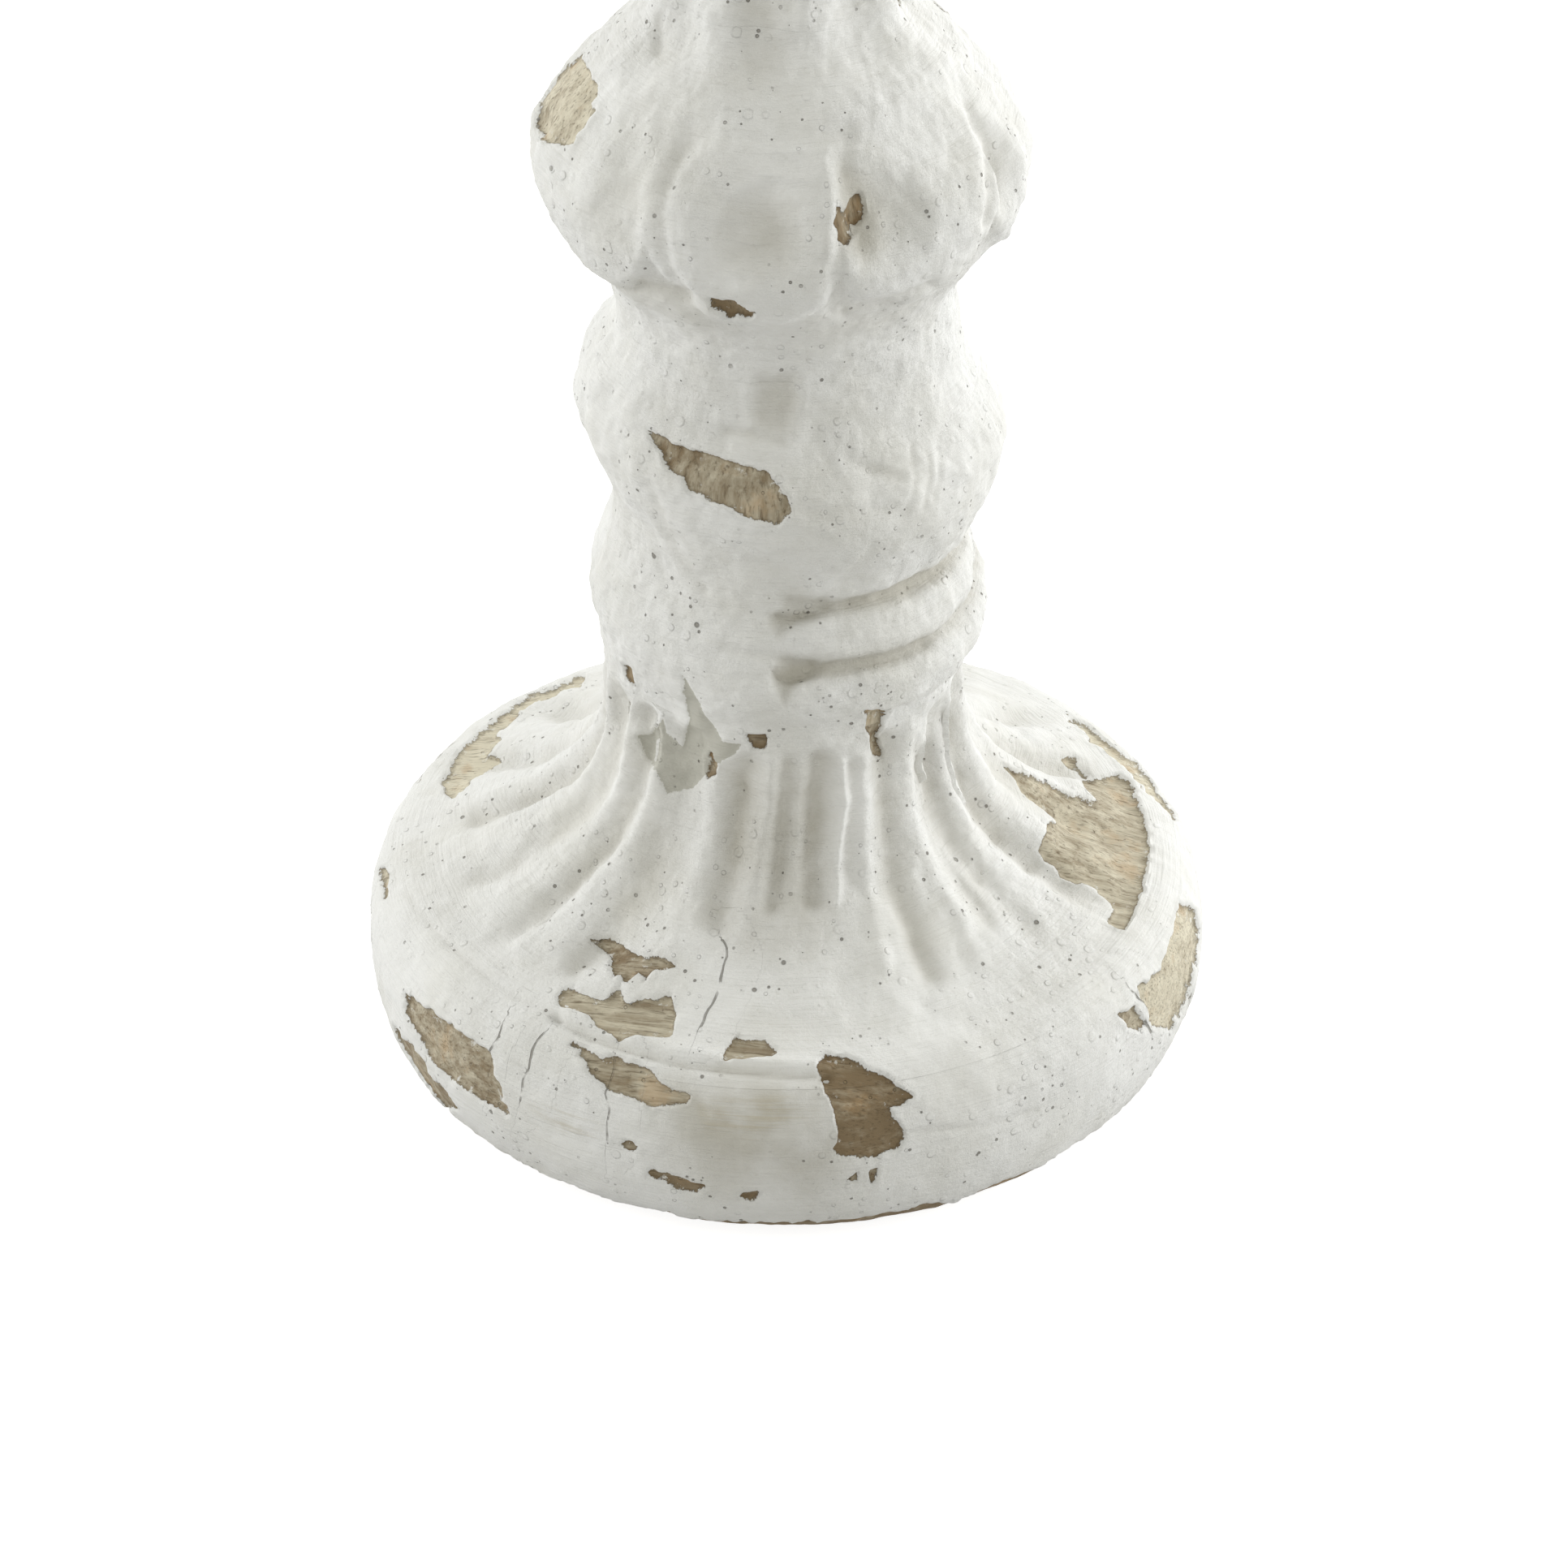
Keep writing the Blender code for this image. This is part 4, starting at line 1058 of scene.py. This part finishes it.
def make_bell(material):
    low, high = side_ends("base_bell")
    angle = round_angles(BELL_SEGMENTS)
    share = np.linspace(0.0, 1.0, BELL_ROWS["side"])
    sweep = BELL_TOP_RADIUS + (WIDE["base_bell"] - BELL_TOP_RADIUS) * (1 - share) ** BELL_SWEEP
    foot = LOW["base_bell"] + BELL_STEP
    flutes, cut = carved(np.column_stack([sweep, foot + (high - foot) * share]), BELL_SEGMENTS, bell_carve)
    apron = skirt(np.linspace(0.0, 1.0, BELL_ROWS["skirt"], endpoint=False)[:, None], angle)
    side = np.concatenate([apron, flutes]), np.concatenate([np.zeros(apron.shape[:2]), cut])
    shank = SCREW_RADIUS + HOLE_CLEARANCE
    rim = skirt(np.linspace(1.0, 0.0, BELL_ROWS["skirt_under"], endpoint=False)[:, None], angle)
    rim[..., 2] = plinth_height(np.linalg.norm(rim[..., :2], axis=-1)) - SKIRT_SINK
    underside = np.concatenate([revolve([(shank, low)], BELL_SEGMENTS), rim])
    top = revolve([(shank, high)], BELL_SEGMENTS)
    make_section("painted_bell", "base_bell", side, material, underside, top, closed=True)


def wrap_groove(angle, distance):
    """A groove that starts sharply at the front, runs round to one side and dies away."""
    gone = (angle - WRAP_START) % (2 * math.pi)
    strength = smoothstep(0.0, WRAP_ENTRY, gone) * smoothstep(WRAP_SWEEP, WRAP_FULL, gone)
    return strength * hump(distance, WRAP_WIDTH)


def knot_carve(angle, height):
    """Two leaning beads with two hand-cut grooves, and a sharper waist on one side."""
    rise = height - LOW["stem_knot"]
    fade = ends_fade(rise / (HIGH["stem_knot"] - LOW["stem_knot"]), KNOT_FADE)
    radii, rises = curve_through(KNOT_RADII, KNOT_RISES, STEM_ROWS["knot"]).T
    leaning = rise + KNOT_TILT * fade * np.cos(angle - KNOT_LOW_SIDE)
    lean = np.interp(leaning, rises, radii) - np.interp(rise, rises, radii)
    above_waist = leaning - KNOT_RISES[0] - KNOT_RISES[1]
    grooves = fade * (wrap_groove(angle, above_waist) + wrap_groove(angle, above_waist + WRAP_SPACING))
    notch = hump(turn_from(angle, NOTCH_ANGLE), NOTCH_SPREAD) * hump(above_waist, NOTCH_WIDTH)
    # the grooves and the waist notch are darkened with grime and painted shade
    return lean - WRAP_DEPTH * grooves - NOTCH_DEPTH * notch, grooves + NOTCH_SOIL_AND_SHADE * notch


def make_knot(material):
    outline = curve_through(KNOT_RADII, KNOT_RISES, STEM_ROWS["knot"])
    side = carved(stretched(outline, "stem_knot"), STEM_SEGMENTS, knot_carve)
    low, high = side_ends("stem_knot")
    screw = SCREW_RADIUS + HOLE_CLEARANCE
    below = revolve([(screw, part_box("base_screw")[1][2]), (screw, low)], STEM_SEGMENTS)
    above = socket_above("knop_dowel", high, STEM_SEGMENTS)
    make_section("painted_knot", "stem_knot", side, material, below, above)


def facet(angle):
    """Broad hollow facets of the neck and shaft, one over each petal."""
    return 0.5 + 0.5 * np.cos(math.pi * within_part(angle, PETAL_COUNT, PETAL_PHASE))


def petal_dish(angle, across, up):
    """The hollow in a petal, 0 to 1. On the side petals it lies nearer the front."""
    petal_middle = angle - across * math.pi / PETAL_COUNT
    aside = across + PETAL_DISH_LEAN * np.sin(petal_middle)
    reach = np.hypot(aside / PETAL_DISH_WIDTH, (up - PETAL_DISH_LIFT) / PETAL_DISH_HEIGHT)
    depth = 1 - (1 - PETAL_LEFT) * smoothstep(*PETAL_LEFT_RANGE, -np.sin(petal_middle))
    return depth * smoothstep(*PETAL_DISH_EDGE, reach) * smoothstep(1.0, 1 - PETAL_LIP, np.abs(across))


def knop_carve(angle, height):
    """Scalloped petals with a hollow in each, that meet in ridges above and in notches at the hem below."""
    above = height - LOW["stem_knop"]
    rise = HIGH["stem_knop"] - LOW["stem_knop"]
    up = 2 * (above - PETAL_LOW) / PETAL_RISE - 1
    across = within_part(angle, PETAL_COUNT, PETAL_PHASE)
    corner = smoothstep(*PETAL_CORNER_EDGE, np.hypot(across, np.minimum(up, 0.0)))
    corner = corner * smoothstep(0.0, PETAL_LOW, above) * smoothstep(*PETAL_CORNER_TOP, up)
    on_belly = smoothstep(*PETAL_RIDGE_LOW, up) * smoothstep(*PETAL_RIDGE_HIGH, up)
    ridge = np.sin(math.pi / 2 * across) ** PETAL_RIDGE_POWER * on_belly
    dish = petal_dish(angle, across, up)
    neck = smoothstep(rise - NECK_RISE, rise, above) * facet(angle)
    push = PETAL_RIDGE * ridge - PETAL_CORNER * corner - PETAL_DISH * dish - FACET_DEPTH * neck
    # the hollows, neck facets and hem notches are darkened with grime and painted shade
    return push, PETAL_DISH_SOIL_AND_SHADE * dish + NECK_SOIL_AND_SHADE * neck + PETAL_CORNER_SOIL_AND_SHADE * corner


def make_knop(material):
    outline = curve_through(KNOP_RADII, KNOP_RISES, STEM_ROWS["knop"])
    side = carved(stretched(outline, "stem_knop"), STEM_SEGMENTS, knop_carve)
    low, high = side_ends("stem_knop")
    below = socket_below("knop_dowel", low, STEM_SEGMENTS)
    above = socket_above("shaft_dowel", high, STEM_SEGMENTS)
    make_section("painted_knop", "stem_knop", side, material, below, above)


def shaft_carve(angle, height):
    end = SHAFT_RISES[0] + SHAFT_RISES[1]
    cut = facet(angle) * smoothstep(end, end - FACET_FADE, height - LOW["stem_shaft"])
    # the facets are darkened with grime and painted shade
    return -FACET_DEPTH * cut, FACET_SOIL_AND_SHADE * cut


def make_shaft(material):
    shaft = curve_through(SHAFT_RADII, SHAFT_RISES, STEM_ROWS["shaft"])
    collar = curve_through(COLLAR_RADII, (COLLAR_RISE / 2, COLLAR_RISE / 2), STEM_ROWS["collar"])
    outline = path_of(shaft, collar + (0.0, sum(SHAFT_RISES)))
    side = carved(stretched(outline, "stem_shaft"), UPPER_SEGMENTS, shaft_carve)
    low, high = side_ends("stem_shaft")
    below = socket_below("shaft_dowel", low, UPPER_SEGMENTS)
    above = socket_above("cup_dowel", high, UPPER_SEGMENTS)
    make_section("painted_shaft", "stem_shaft", side, material, below, above)


def cup_carve(angle, height):
    share = (height - LOW["candle_cup"] - CUP_STEM_RISE) / CUP_FLARE_RISE
    groove = 0.5 + 0.5 * np.cos(math.pi * within_part(angle, FLUTE_COUNT, FLUTE_PHASE))
    cut = groove * ends_fade(share, CUP_FLUTE_FADE)
    # the flutes are darkened with grime and painted shade
    return -CUP_FLUTE_DEPTH * cut, cut


def make_cup(material):
    low, high = LOW["candle_cup"], HIGH["candle_cup"]
    wide = WIDE["candle_cup"]
    rim_low = low + CUP_STEM_RISE + CUP_FLARE_RISE
    middle = (rim_low + high) / 2
    crown, dish = wide - RIM_WIDTH / 2, wide - RIM_WIDTH
    share = np.linspace(1.0, 0.0, CUP_ROWS["flare"])
    flare = CUP_STEM_RADIUS + (wide - CUP_UNDERCUT - CUP_STEM_RADIUS) * (1 - share) ** CUP_SWEEP
    floor = high - DISH_DEPTH
    stem_top = (CUP_STEM_RADIUS, low + CUP_STEM_RISE)
    outline = path_of(
        straight((COLLAR_RADII[-1], low - JOINT_CLOSE), stem_top, CUP_ROWS["stem"]),
        np.column_stack([flare, rim_low - CUP_FLARE_RISE * share]),
        quarter((wide - CUP_UNDERCUT, rim_low), (wide, rim_low), (wide, middle), CUP_ROWS["edge"]),
        quarter((wide, middle), (wide, high), (crown, high), CUP_ROWS["rim"]),
        quarter((crown, high), (dish, high), (dish, middle), CUP_ROWS["rim"]),
        straight((dish, middle), (dish - DISH_SLOPE, floor), CUP_ROWS["dish"]),
    )
    side = carved(outline, UPPER_SEGMENTS, cup_carve)
    spike = SPIKE_SHANK_RADIUS + HOLE_CLEARANCE
    below = socket_below("cup_dowel", low - JOINT_CLOSE, UPPER_SEGMENTS)
    above = revolve([(spike, floor), (spike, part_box("pricket_spike")[0][2])], UPPER_SEGMENTS)
    make_section("painted_cup", "candle_cup", side, material, below, above)


def make_plate(material):
    """The pressed plate with a rolled lip and the dimple that the spike's flange sits in."""
    low_corner, high_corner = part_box("candle_plate")
    edge, base, lip = high_corner[0], low_corner[2], high_corner[2]
    bend, crown, inner = edge - PLATE_LIP, edge - PLATE_THICKNESS / 2, edge - PLATE_THICKNESS
    shoulder, fall = lip - PLATE_THICKNESS / 2, lip - PLATE_THICKNESS / 4
    top = base + PLATE_THICKNESS
    bed = top - PLATE_DIMPLE
    hole = SPIKE_SHANK_RADIUS + HOLE_CLEARANCE
    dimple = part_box("pricket_spike")[1][0] + PLATE_DIMPLE_MARGIN
    outline = path_of(
        straight((hole, base), (bend, base), PLATE_ROWS["floor"]),
        quarter((bend, base), (edge, base), (edge, shoulder), PLATE_ROWS["lip"]),
        quarter((edge, shoulder), (edge, lip), (crown, lip), PLATE_ROWS["lip_edge"]),
        straight((crown, lip), (inner, fall), PLATE_ROWS["lip_fall"]),
        quarter((inner, fall), (inner, top), (bend, top), PLATE_ROWS["lip"]),
        straight((bend, top), (dimple + PLATE_DIMPLE, top), PLATE_ROWS["bed"]),
        straight((dimple + PLATE_DIMPLE, top), (dimple, bed), PLATE_ROWS["dimple_edge"]),
        straight((dimple, bed), (hole, bed), PLATE_ROWS["dimple"]),
    )
    piece = make_piece("iron_plate", revolve(outline, IRON_SEGMENTS), closed=True)
    place(piece, "candle_plate", material)


def make_spike(material):
    low_corner, high_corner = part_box("pricket_spike")
    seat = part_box("candle_plate")[0][2] + PLATE_THICKNESS - PLATE_DIMPLE + HOLE_CLEARANCE
    flange = high_corner[0]
    top = seat + SPIKE_FLANGE_THICKNESS
    root = (SPIKE_RADIUS, top)
    shank = low_corner[2] + SPIKE_SHANK_TAPER
    outline = path_of(
        straight((SPIKE_TIP_RADIUS, low_corner[2]), (SPIKE_SHANK_RADIUS, shank), SPIKE_ROWS["tip"]),
        straight((SPIKE_SHANK_RADIUS, shank), (SPIKE_SHANK_RADIUS, seat), SPIKE_ROWS["shank"]),
        straight((SPIKE_SHANK_RADIUS, seat), (flange, seat), SPIKE_ROWS["seat"]),
        quarter((flange, seat), (flange, top), root, SPIKE_ROWS["flange"], SPIKE_FLANGE_SQUARENESS),
        straight(root, (SPIKE_TIP_RADIUS, high_corner[2]), SPIKE_ROWS["point"]),
    )
    piece = make_piece("iron_spike", revolve(outline, SMALL_SEGMENTS))
    place(piece, "pricket_spike", material)


def make_pad(node, material):
    """A pressed felt disc with soft edges."""
    low_corner, high_corner = (np.array(corner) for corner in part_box(node))
    middle = (low_corner + high_corner) / 2
    radius = (high_corner[0] - low_corner[0]) / 2
    low, high = low_corner[2], high_corner[2]
    flat = radius - (high - low) / 2
    outline = path_of(
        quarter((flat, low), (radius, low), (radius, middle[2]), PAD_ROWS),
        quarter((radius, middle[2]), (radius, high), (flat, high), PAD_ROWS),
    )
    piece = make_piece("soft_" + node, revolve(outline, SMALL_SEGMENTS) + (middle[0], middle[1], 0.0))
    place(piece, node, material)


def node_adder(tree):
    """A function that adds nodes to a tree, with sockets linked and values set by input name or number."""

    def add(kind, inputs=(), **settings):
        node = tree.nodes.new("ShaderNode" + kind)
        for key, value in settings.items():
            setattr(node, key, value)
        for key, value in dict(inputs).items():
            if isinstance(value, bpy.types.NodeSocket):
                tree.links.new(value, node.inputs[key])
            else:
                node.inputs[key].default_value = value
        return node

    return add


def new_material(name):
    material = bpy.data.materials.new(name)
    material.use_nodes = True
    return material, material.node_tree.nodes["Principled BSDF"], node_adder(material.node_tree)


def connect(node, name, value):
    node.id_data.links.new(value, node.inputs[name])


def set_inputs(shader, values):
    for name, value in values.items():
        shader.inputs[name].default_value = value


def arithmetic(add, operation, first, second):
    return add("Math", {0: first, 1: second}, operation=operation).outputs[0]


def times(add, first, second):
    return arithmetic(add, "MULTIPLY", first, second)


def plus(add, first, second):
    return arithmetic(add, "ADD", first, second)


def soft_mask(add, value, low, high):
    return add("MapRange", {0: value, 1: low, 2: high}, interpolation_type="SMOOTHSTEP").outputs[0]


def between(add, share, low, high):
    return add("MapRange", {0: share, 3: low, 4: high}).outputs[0]


def mix_colour(add, share, first, second):
    colours = {6: first, 7: second}
    for key, value in colours.items():
        if not isinstance(value, bpy.types.NodeSocket):
            colours[key] = (*value, 1.0)
    return add("Mix", {0: share, **colours}, data_type="RGBA").outputs[2]


def noise(add, coordinates, scale, detail, roughness):
    inputs = {"Vector": coordinates, "Scale": scale, "Detail": detail, "Roughness": roughness}
    return add("TexNoise", inputs).outputs[0]


def squeezed(add, coordinates, sizes, turn=0.0):
    """Coordinates turned round the axis and then divided by the feature sizes, in metres."""
    inputs = {"Vector": coordinates, "Scale": sizes, "Rotation": (0.0, 0.0, turn)}
    return add("Mapping", inputs, vector_type="TEXTURE").outputs[0]


def link_bump(add, shader, height, distance, strength):
    bump = add("Bump", {"Height": height, "Distance": distance, "Strength": strength})
    connect(shader, "Normal", bump.outputs[0])


def attribute(add, name):
    return add("Attribute", attribute_name=name).outputs["Fac"]


def wood_colour(add, spot, grain, pale):
    """Weathered wood between brown and pale with fine dark pores, and the streaks along its grain."""
    along = squeezed(add, spot, *grain)
    streaks = noise(add, along, *STREAK_NOISE)
    pores = noise(add, squeezed(add, along, PORE_SHARES), *PORE_NOISE)
    patches = noise(add, spot, *PATCH_NOISE)
    shade = plus(add, times(add, streaks, STREAK_WEIGHT), times(add, patches, PATCH_WEIGHT))
    tone = plus(add, pale, arithmetic(add, "SUBTRACT", shade, (STREAK_WEIGHT + PATCH_WEIGHT) / 2))
    body = mix_colour(add, soft_mask(add, tone, *PALE_RANGE), WOOD_BROWN, WOOD_PALE)
    orange = times(add, soft_mask(add, patches, *ORANGE_RANGE), ORANGE_COVER)
    body = mix_colour(add, orange, body, WOOD_ORANGE)
    dark = times(add, soft_mask(add, pores, *PORE_RANGE), PORE_DARK)
    return mix_colour(add, dark, body, WOOD_PORE_AND_SHADOW), streaks


def dots(add, spot, scale, smallest, largest, share):
    """Dots of mixed size in loose clusters, for burst bubbles and beads in the paint."""
    cells = add("TexVoronoi", {"Vector": spot, "Scale": scale})
    luck = add("SeparateColor", {0: cells.outputs["Color"]})
    radius = between(add, times(add, luck.outputs[1], luck.outputs[1]), smallest, largest)
    dot = soft_mask(add, arithmetic(add, "DIVIDE", cells.outputs["Distance"], radius), *DOT_EDGE)
    cluster = soft_mask(add, noise(add, spot, *CLUSTER_NOISE), *CLUSTER_RANGE)
    chosen = soft_mask(add, luck.outputs[0], 1 - share, 1 - share + DOT_CHOICE)
    return times(add, times(add, chosen, dot), cluster)


def paint_flaws(add, spot):
    """Pinholes and broken cracks in the paint, 0 to 1."""
    pinholes = arithmetic(add, "MAXIMUM", *(dots(add, spot, *kind) for kind in PINHOLES))
    off_crack = arithmetic(add, "ABSOLUTE", attribute(add, "crack"), 0.0)
    broken = soft_mask(add, noise(add, spot, *CRACK_NOISE), *CRACK_RANGE)
    crack = times(add, soft_mask(add, off_crack, *CRACK_EDGE_MM), broken)
    return arithmetic(add, "MAXIMUM", times(add, pinholes, PINHOLE_DARK), times(add, crack, CRACK_DARK))


def paint_masks(add, spot, ragged, brushing, grit):
    """Where the warmer paint and each of the paint's layers show, 0 to 1."""
    blotch = noise(add, spot, *BLOTCH_NOISE)
    patchy = plus(add, times(add, soft_mask(add, blotch, *GRIME_AND_SHADE_RANGE), 1 - GRIME_AND_SHADE_EVEN), GRIME_AND_SHADE_EVEN)
    scuffs = soft_mask(add, plus(add, brushing, blotch), *SCUFF_RANGE)
    return {
        "warm": soft_mask(add, blotch, *WARM_RANGE),
        "strokes": soft_mask(add, brushing, *STROKE_RANGE),
        # grime and painted shade, darker in the hollows, partly in blotches
        "grime_and_shade": times(add, attribute(add, "hollow"), patchy),
        "grit": soft_mask(add, grit, *GRIT_RANGE),
        "undercoat": soft_mask(add, plus(add, attribute(add, "undercoat"), ragged), *UNDERCOAT_EDGE_MM),
        "stain": times(add, soft_mask(add, attribute(add, "stain"), *STAIN_EDGE_MM), scuffs),
        "flaws": paint_flaws(add, spot),
    }


def paint_colour(add, masks):
    paint = mix_colour(add, masks["warm"], PAINT_CLEAN, PAINT_WARM)
    for mask, cover, colour in PAINT_LAYERS:
        paint = mix_colour(add, times(add, masks[mask], cover), paint, colour)
    return paint


def chip_colour(add, spot, grain, chip):
    """Bare wood with painted shadow along its rim and specks of paint left on it, and the wood's streaks."""
    wood, streaks = wood_colour(add, spot, grain, attribute(add, "pale"))
    # painted shadow along the rim of each chip
    painted_rim_shadow = times(add, soft_mask(add, chip, *CHIP_SHADOW_MM), CHIP_SHADOW_DARK)
    wood = mix_colour(add, painted_rim_shadow, wood, WOOD_PORE_AND_SHADOW)
    specks = soft_mask(add, noise(add, spot, *SPECK_NOISE), *SPECK_RANGE)
    specks = times(add, specks, soft_mask(add, chip, *SPECK_REACH_MM))
    return mix_colour(add, times(add, specks, SPECK_COVER), wood, PAINT_WARM), streaks


def film_height(add, spot, brushing, grit):
    """Brush strokes, sand and beads in the paint, as shares of its thickness."""
    sandy = soft_mask(add, noise(add, spot, *SANDY_NOISE), *SANDY_RANGE)
    sand = times(add, grit, plus(add, times(add, sandy, SANDY_PATCH_RISE), SAND_RISE))
    beads = times(add, dots(add, spot, *BEADS), BEAD_RISE)
    return plus(add, plus(add, times(add, brushing, BRUSH_RISE), sand), beads)


def paint_material(name, grain):
    """Thick chalky paint with grime and painted shade in the hollows, and chips down to an undercoat or the
    wood.
    """
    material, shader, add = new_material(name)
    spot = add("TexCoord").outputs["Object"]
    brushed = add("Attribute", attribute_name="stroke").outputs["Vector"]
    brushing = noise(add, squeezed(add, brushed, BRUSH_SIZES), *BRUSH_NOISE)
    grit = noise(add, spot, *GRIT_NOISE)
    ragged = arithmetic(add, "SUBTRACT", noise(add, spot, *RAGGED_NOISE), 0.5)
    chip = plus(add, attribute(add, "chip"), times(add, ragged, CHIP_RAGGED_MM))
    bare = soft_mask(add, chip, *BARE_EDGE_MM)
    masks = paint_masks(add, spot, ragged, brushing, grit)
    wood, streaks = chip_colour(add, spot, grain, chip)
    connect(shader, "Base Color", mix_colour(add, bare, paint_colour(add, masks), wood))
    set_inputs(shader, PAINT_FINISH)
    film = film_height(add, spot, brushing, grit)
    height = add("Mix", {0: bare, 2: film, 3: times(add, streaks, GRAIN_RISE)}).outputs[0]
    height = arithmetic(add, "SUBTRACT", height, times(add, masks["flaws"], PIT_DEPTH))
    link_bump(add, shader, height, FLAKE_DEPTH, 1.0)
    return material


def iron_material():
    """Dark waxed iron, dented by the hammer, with a little rust brown."""
    material, shader, add = new_material("waxed_iron")
    spot = add("TexCoord").outputs["Object"]
    patch = noise(add, spot, *RUST_NOISE)
    connect(shader, "Base Color", mix_colour(add, soft_mask(add, patch, *RUST_RANGE), IRON_DARK, IRON_BROWN))
    connect(shader, "Roughness", between(add, patch, *IRON_ROUGHNESS))
    set_inputs(shader, IRON_FINISH)
    dents = add("TexVoronoi", {"Vector": spot, "Scale": IRON_DENTS}, feature="SMOOTH_F1").outputs["Distance"]
    link_bump(add, shader, dents, *IRON_BUMP)
    return material


def steel_material():
    """Zinc-plated steel with a faint crystal bloom."""
    material, shader, add = new_material("zinc_steel")
    bloom = noise(add, add("TexCoord").outputs["Object"], *ZINC_NOISE)
    connect(shader, "Base Color", mix_colour(add, bloom, ZINC_DARK, ZINC_LIGHT))
    connect(shader, "Roughness", between(add, bloom, *ZINC_ROUGHNESS))
    set_inputs(shader, ZINC_FINISH)
    link_bump(add, shader, bloom, *ZINC_BUMP)
    return material


def bare_wood_material():
    """Plain beech for the dowels, with fine grain along them."""
    material, shader, add = new_material("bare_beech")
    wood, streaks = wood_colour(add, add("TexCoord").outputs["Object"], GRAIN_UP, BEECH_TONE)
    connect(shader, "Base Color", mix_colour(add, BEECH_COVER, wood, BEECH))
    set_inputs(shader, BEECH_FINISH)
    link_bump(add, shader, streaks, *BEECH_BUMP)
    return material


def felt_material():
    """Dark pressed felt with matted fibres."""
    material, shader, add = new_material("felt")
    fibres = noise(add, add("TexCoord").outputs["Object"], *FELT_NOISE)
    connect(shader, "Base Color", mix_colour(add, fibres, FELT_DARK, FELT_LIGHT))
    set_inputs(shader, FELT_FINISH)
    link_bump(add, shader, fibres, *FELT_BUMP)
    return material


def dress_node(name, material):
    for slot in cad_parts[name].material_slots:
        slot.material = material


def shown_ray(add):
    """1 for rays that show the background: seen directly, in a reflection or through glass."""
    path = add("LightPath")
    shown = arithmetic(add, "MAXIMUM", path.outputs["Is Camera Ray"], path.outputs["Is Glossy Ray"])
    return arithmetic(add, "MAXIMUM", shown, path.outputs["Is Transmission Ray"])


def make_floor():
    """A plain white floor that keeps the object's shadow."""
    corners = [(x * FLOOR_HALF, y * FLOOR_HALF, -FLOOR_DROP) for x, y in ((-1, -1), (1, -1), (1, 1), (-1, 1))]
    mesh = bpy.data.meshes.new("floor")
    mesh.from_pydata(corners, [], [(0, 1, 2, 3)])
    floor = bpy.data.objects.new("floor", mesh)
    bpy.context.scene.collection.objects.link(floor)
    material, shader, add = new_material("white_floor")
    shader.inputs["Base Color"].default_value = (FLOOR_WHITE, FLOOR_WHITE, FLOOR_WHITE, 1.0)
    shader.inputs["Roughness"].default_value = FLOOR_ROUGHNESS
    shader.inputs["Emission Color"].default_value = (*WHITE, 1.0)
    connect(shader, "Emission Strength", times(add, shown_ray(add), FLOOR_GLOW))
    mesh.materials.append(material)


def make_light(name, spot, size, power):
    data = bpy.data.lights.new(name, "AREA")
    data.shape = "RECTANGLE"
    data.size, data.size_y = size
    data.energy = power
    data.color = LIGHT_COLOUR
    lamp = bpy.data.objects.new(name, data)
    lamp.location = spot
    lamp.rotation_euler = (Vector(LIGHT_AIM) - Vector(spot)).to_track_quat("-Z", "Y").to_euler()
    bpy.context.scene.collection.objects.link(lamp)


def make_world():
    """White where it is seen, and a softer, warmer fill where it lights the object."""
    world = bpy.data.worlds.new("studio")
    world.use_nodes = True
    bpy.context.scene.world = world
    background = world.node_tree.nodes["Background"]
    add = node_adder(world.node_tree)
    shown = shown_ray(add)
    connect(background, "Color", mix_colour(add, shown, AMBIENT_COLOUR, WHITE))
    connect(background, "Strength", between(add, shown, AMBIENT, 1.0))


def make_camera():
    data = bpy.data.cameras.new("camera")
    data.sensor_width = SENSOR_MM
    data.lens = SENSOR_MM * FOCAL_PIXELS / PHOTO_PIXELS
    data.clip_start = CLIP_START
    camera = bpy.data.objects.new("camera", data)
    camera.location = eye
    camera.rotation_euler = (math.pi / 2 - ELEVATION, 0.0, 0.0)
    bpy.context.scene.collection.objects.link(camera)
    bpy.context.scene.camera = camera


def build():
    base_paint = paint_material("painted_base", GRAIN_ACROSS)
    make_plinth(base_paint)
    make_bell(base_paint)
    stem_paint = paint_material("painted_stem", GRAIN_UP)
    for make in (make_knot, make_knop, make_shaft, make_cup):
        make(stem_paint)
    iron = iron_material()
    make_plate(iron)
    make_spike(iron)
    felt = felt_material()
    for number in range(PAD_COUNT):
        make_pad(f"felt_pad_{number + 1}", felt)
    steel = steel_material()
    for name in ("base_screw", "base_washer"):
        dress_node(name, steel)
    beech = bare_wood_material()
    for name in ("knop_dowel", "shaft_dowel", "cup_dowel"):
        dress_node(name, beech)
    make_floor()
    for light in LIGHTS:
        make_light(*light)
    make_world()
    make_camera()
    bpy.context.scene.view_settings.view_transform = "Standard"


build()
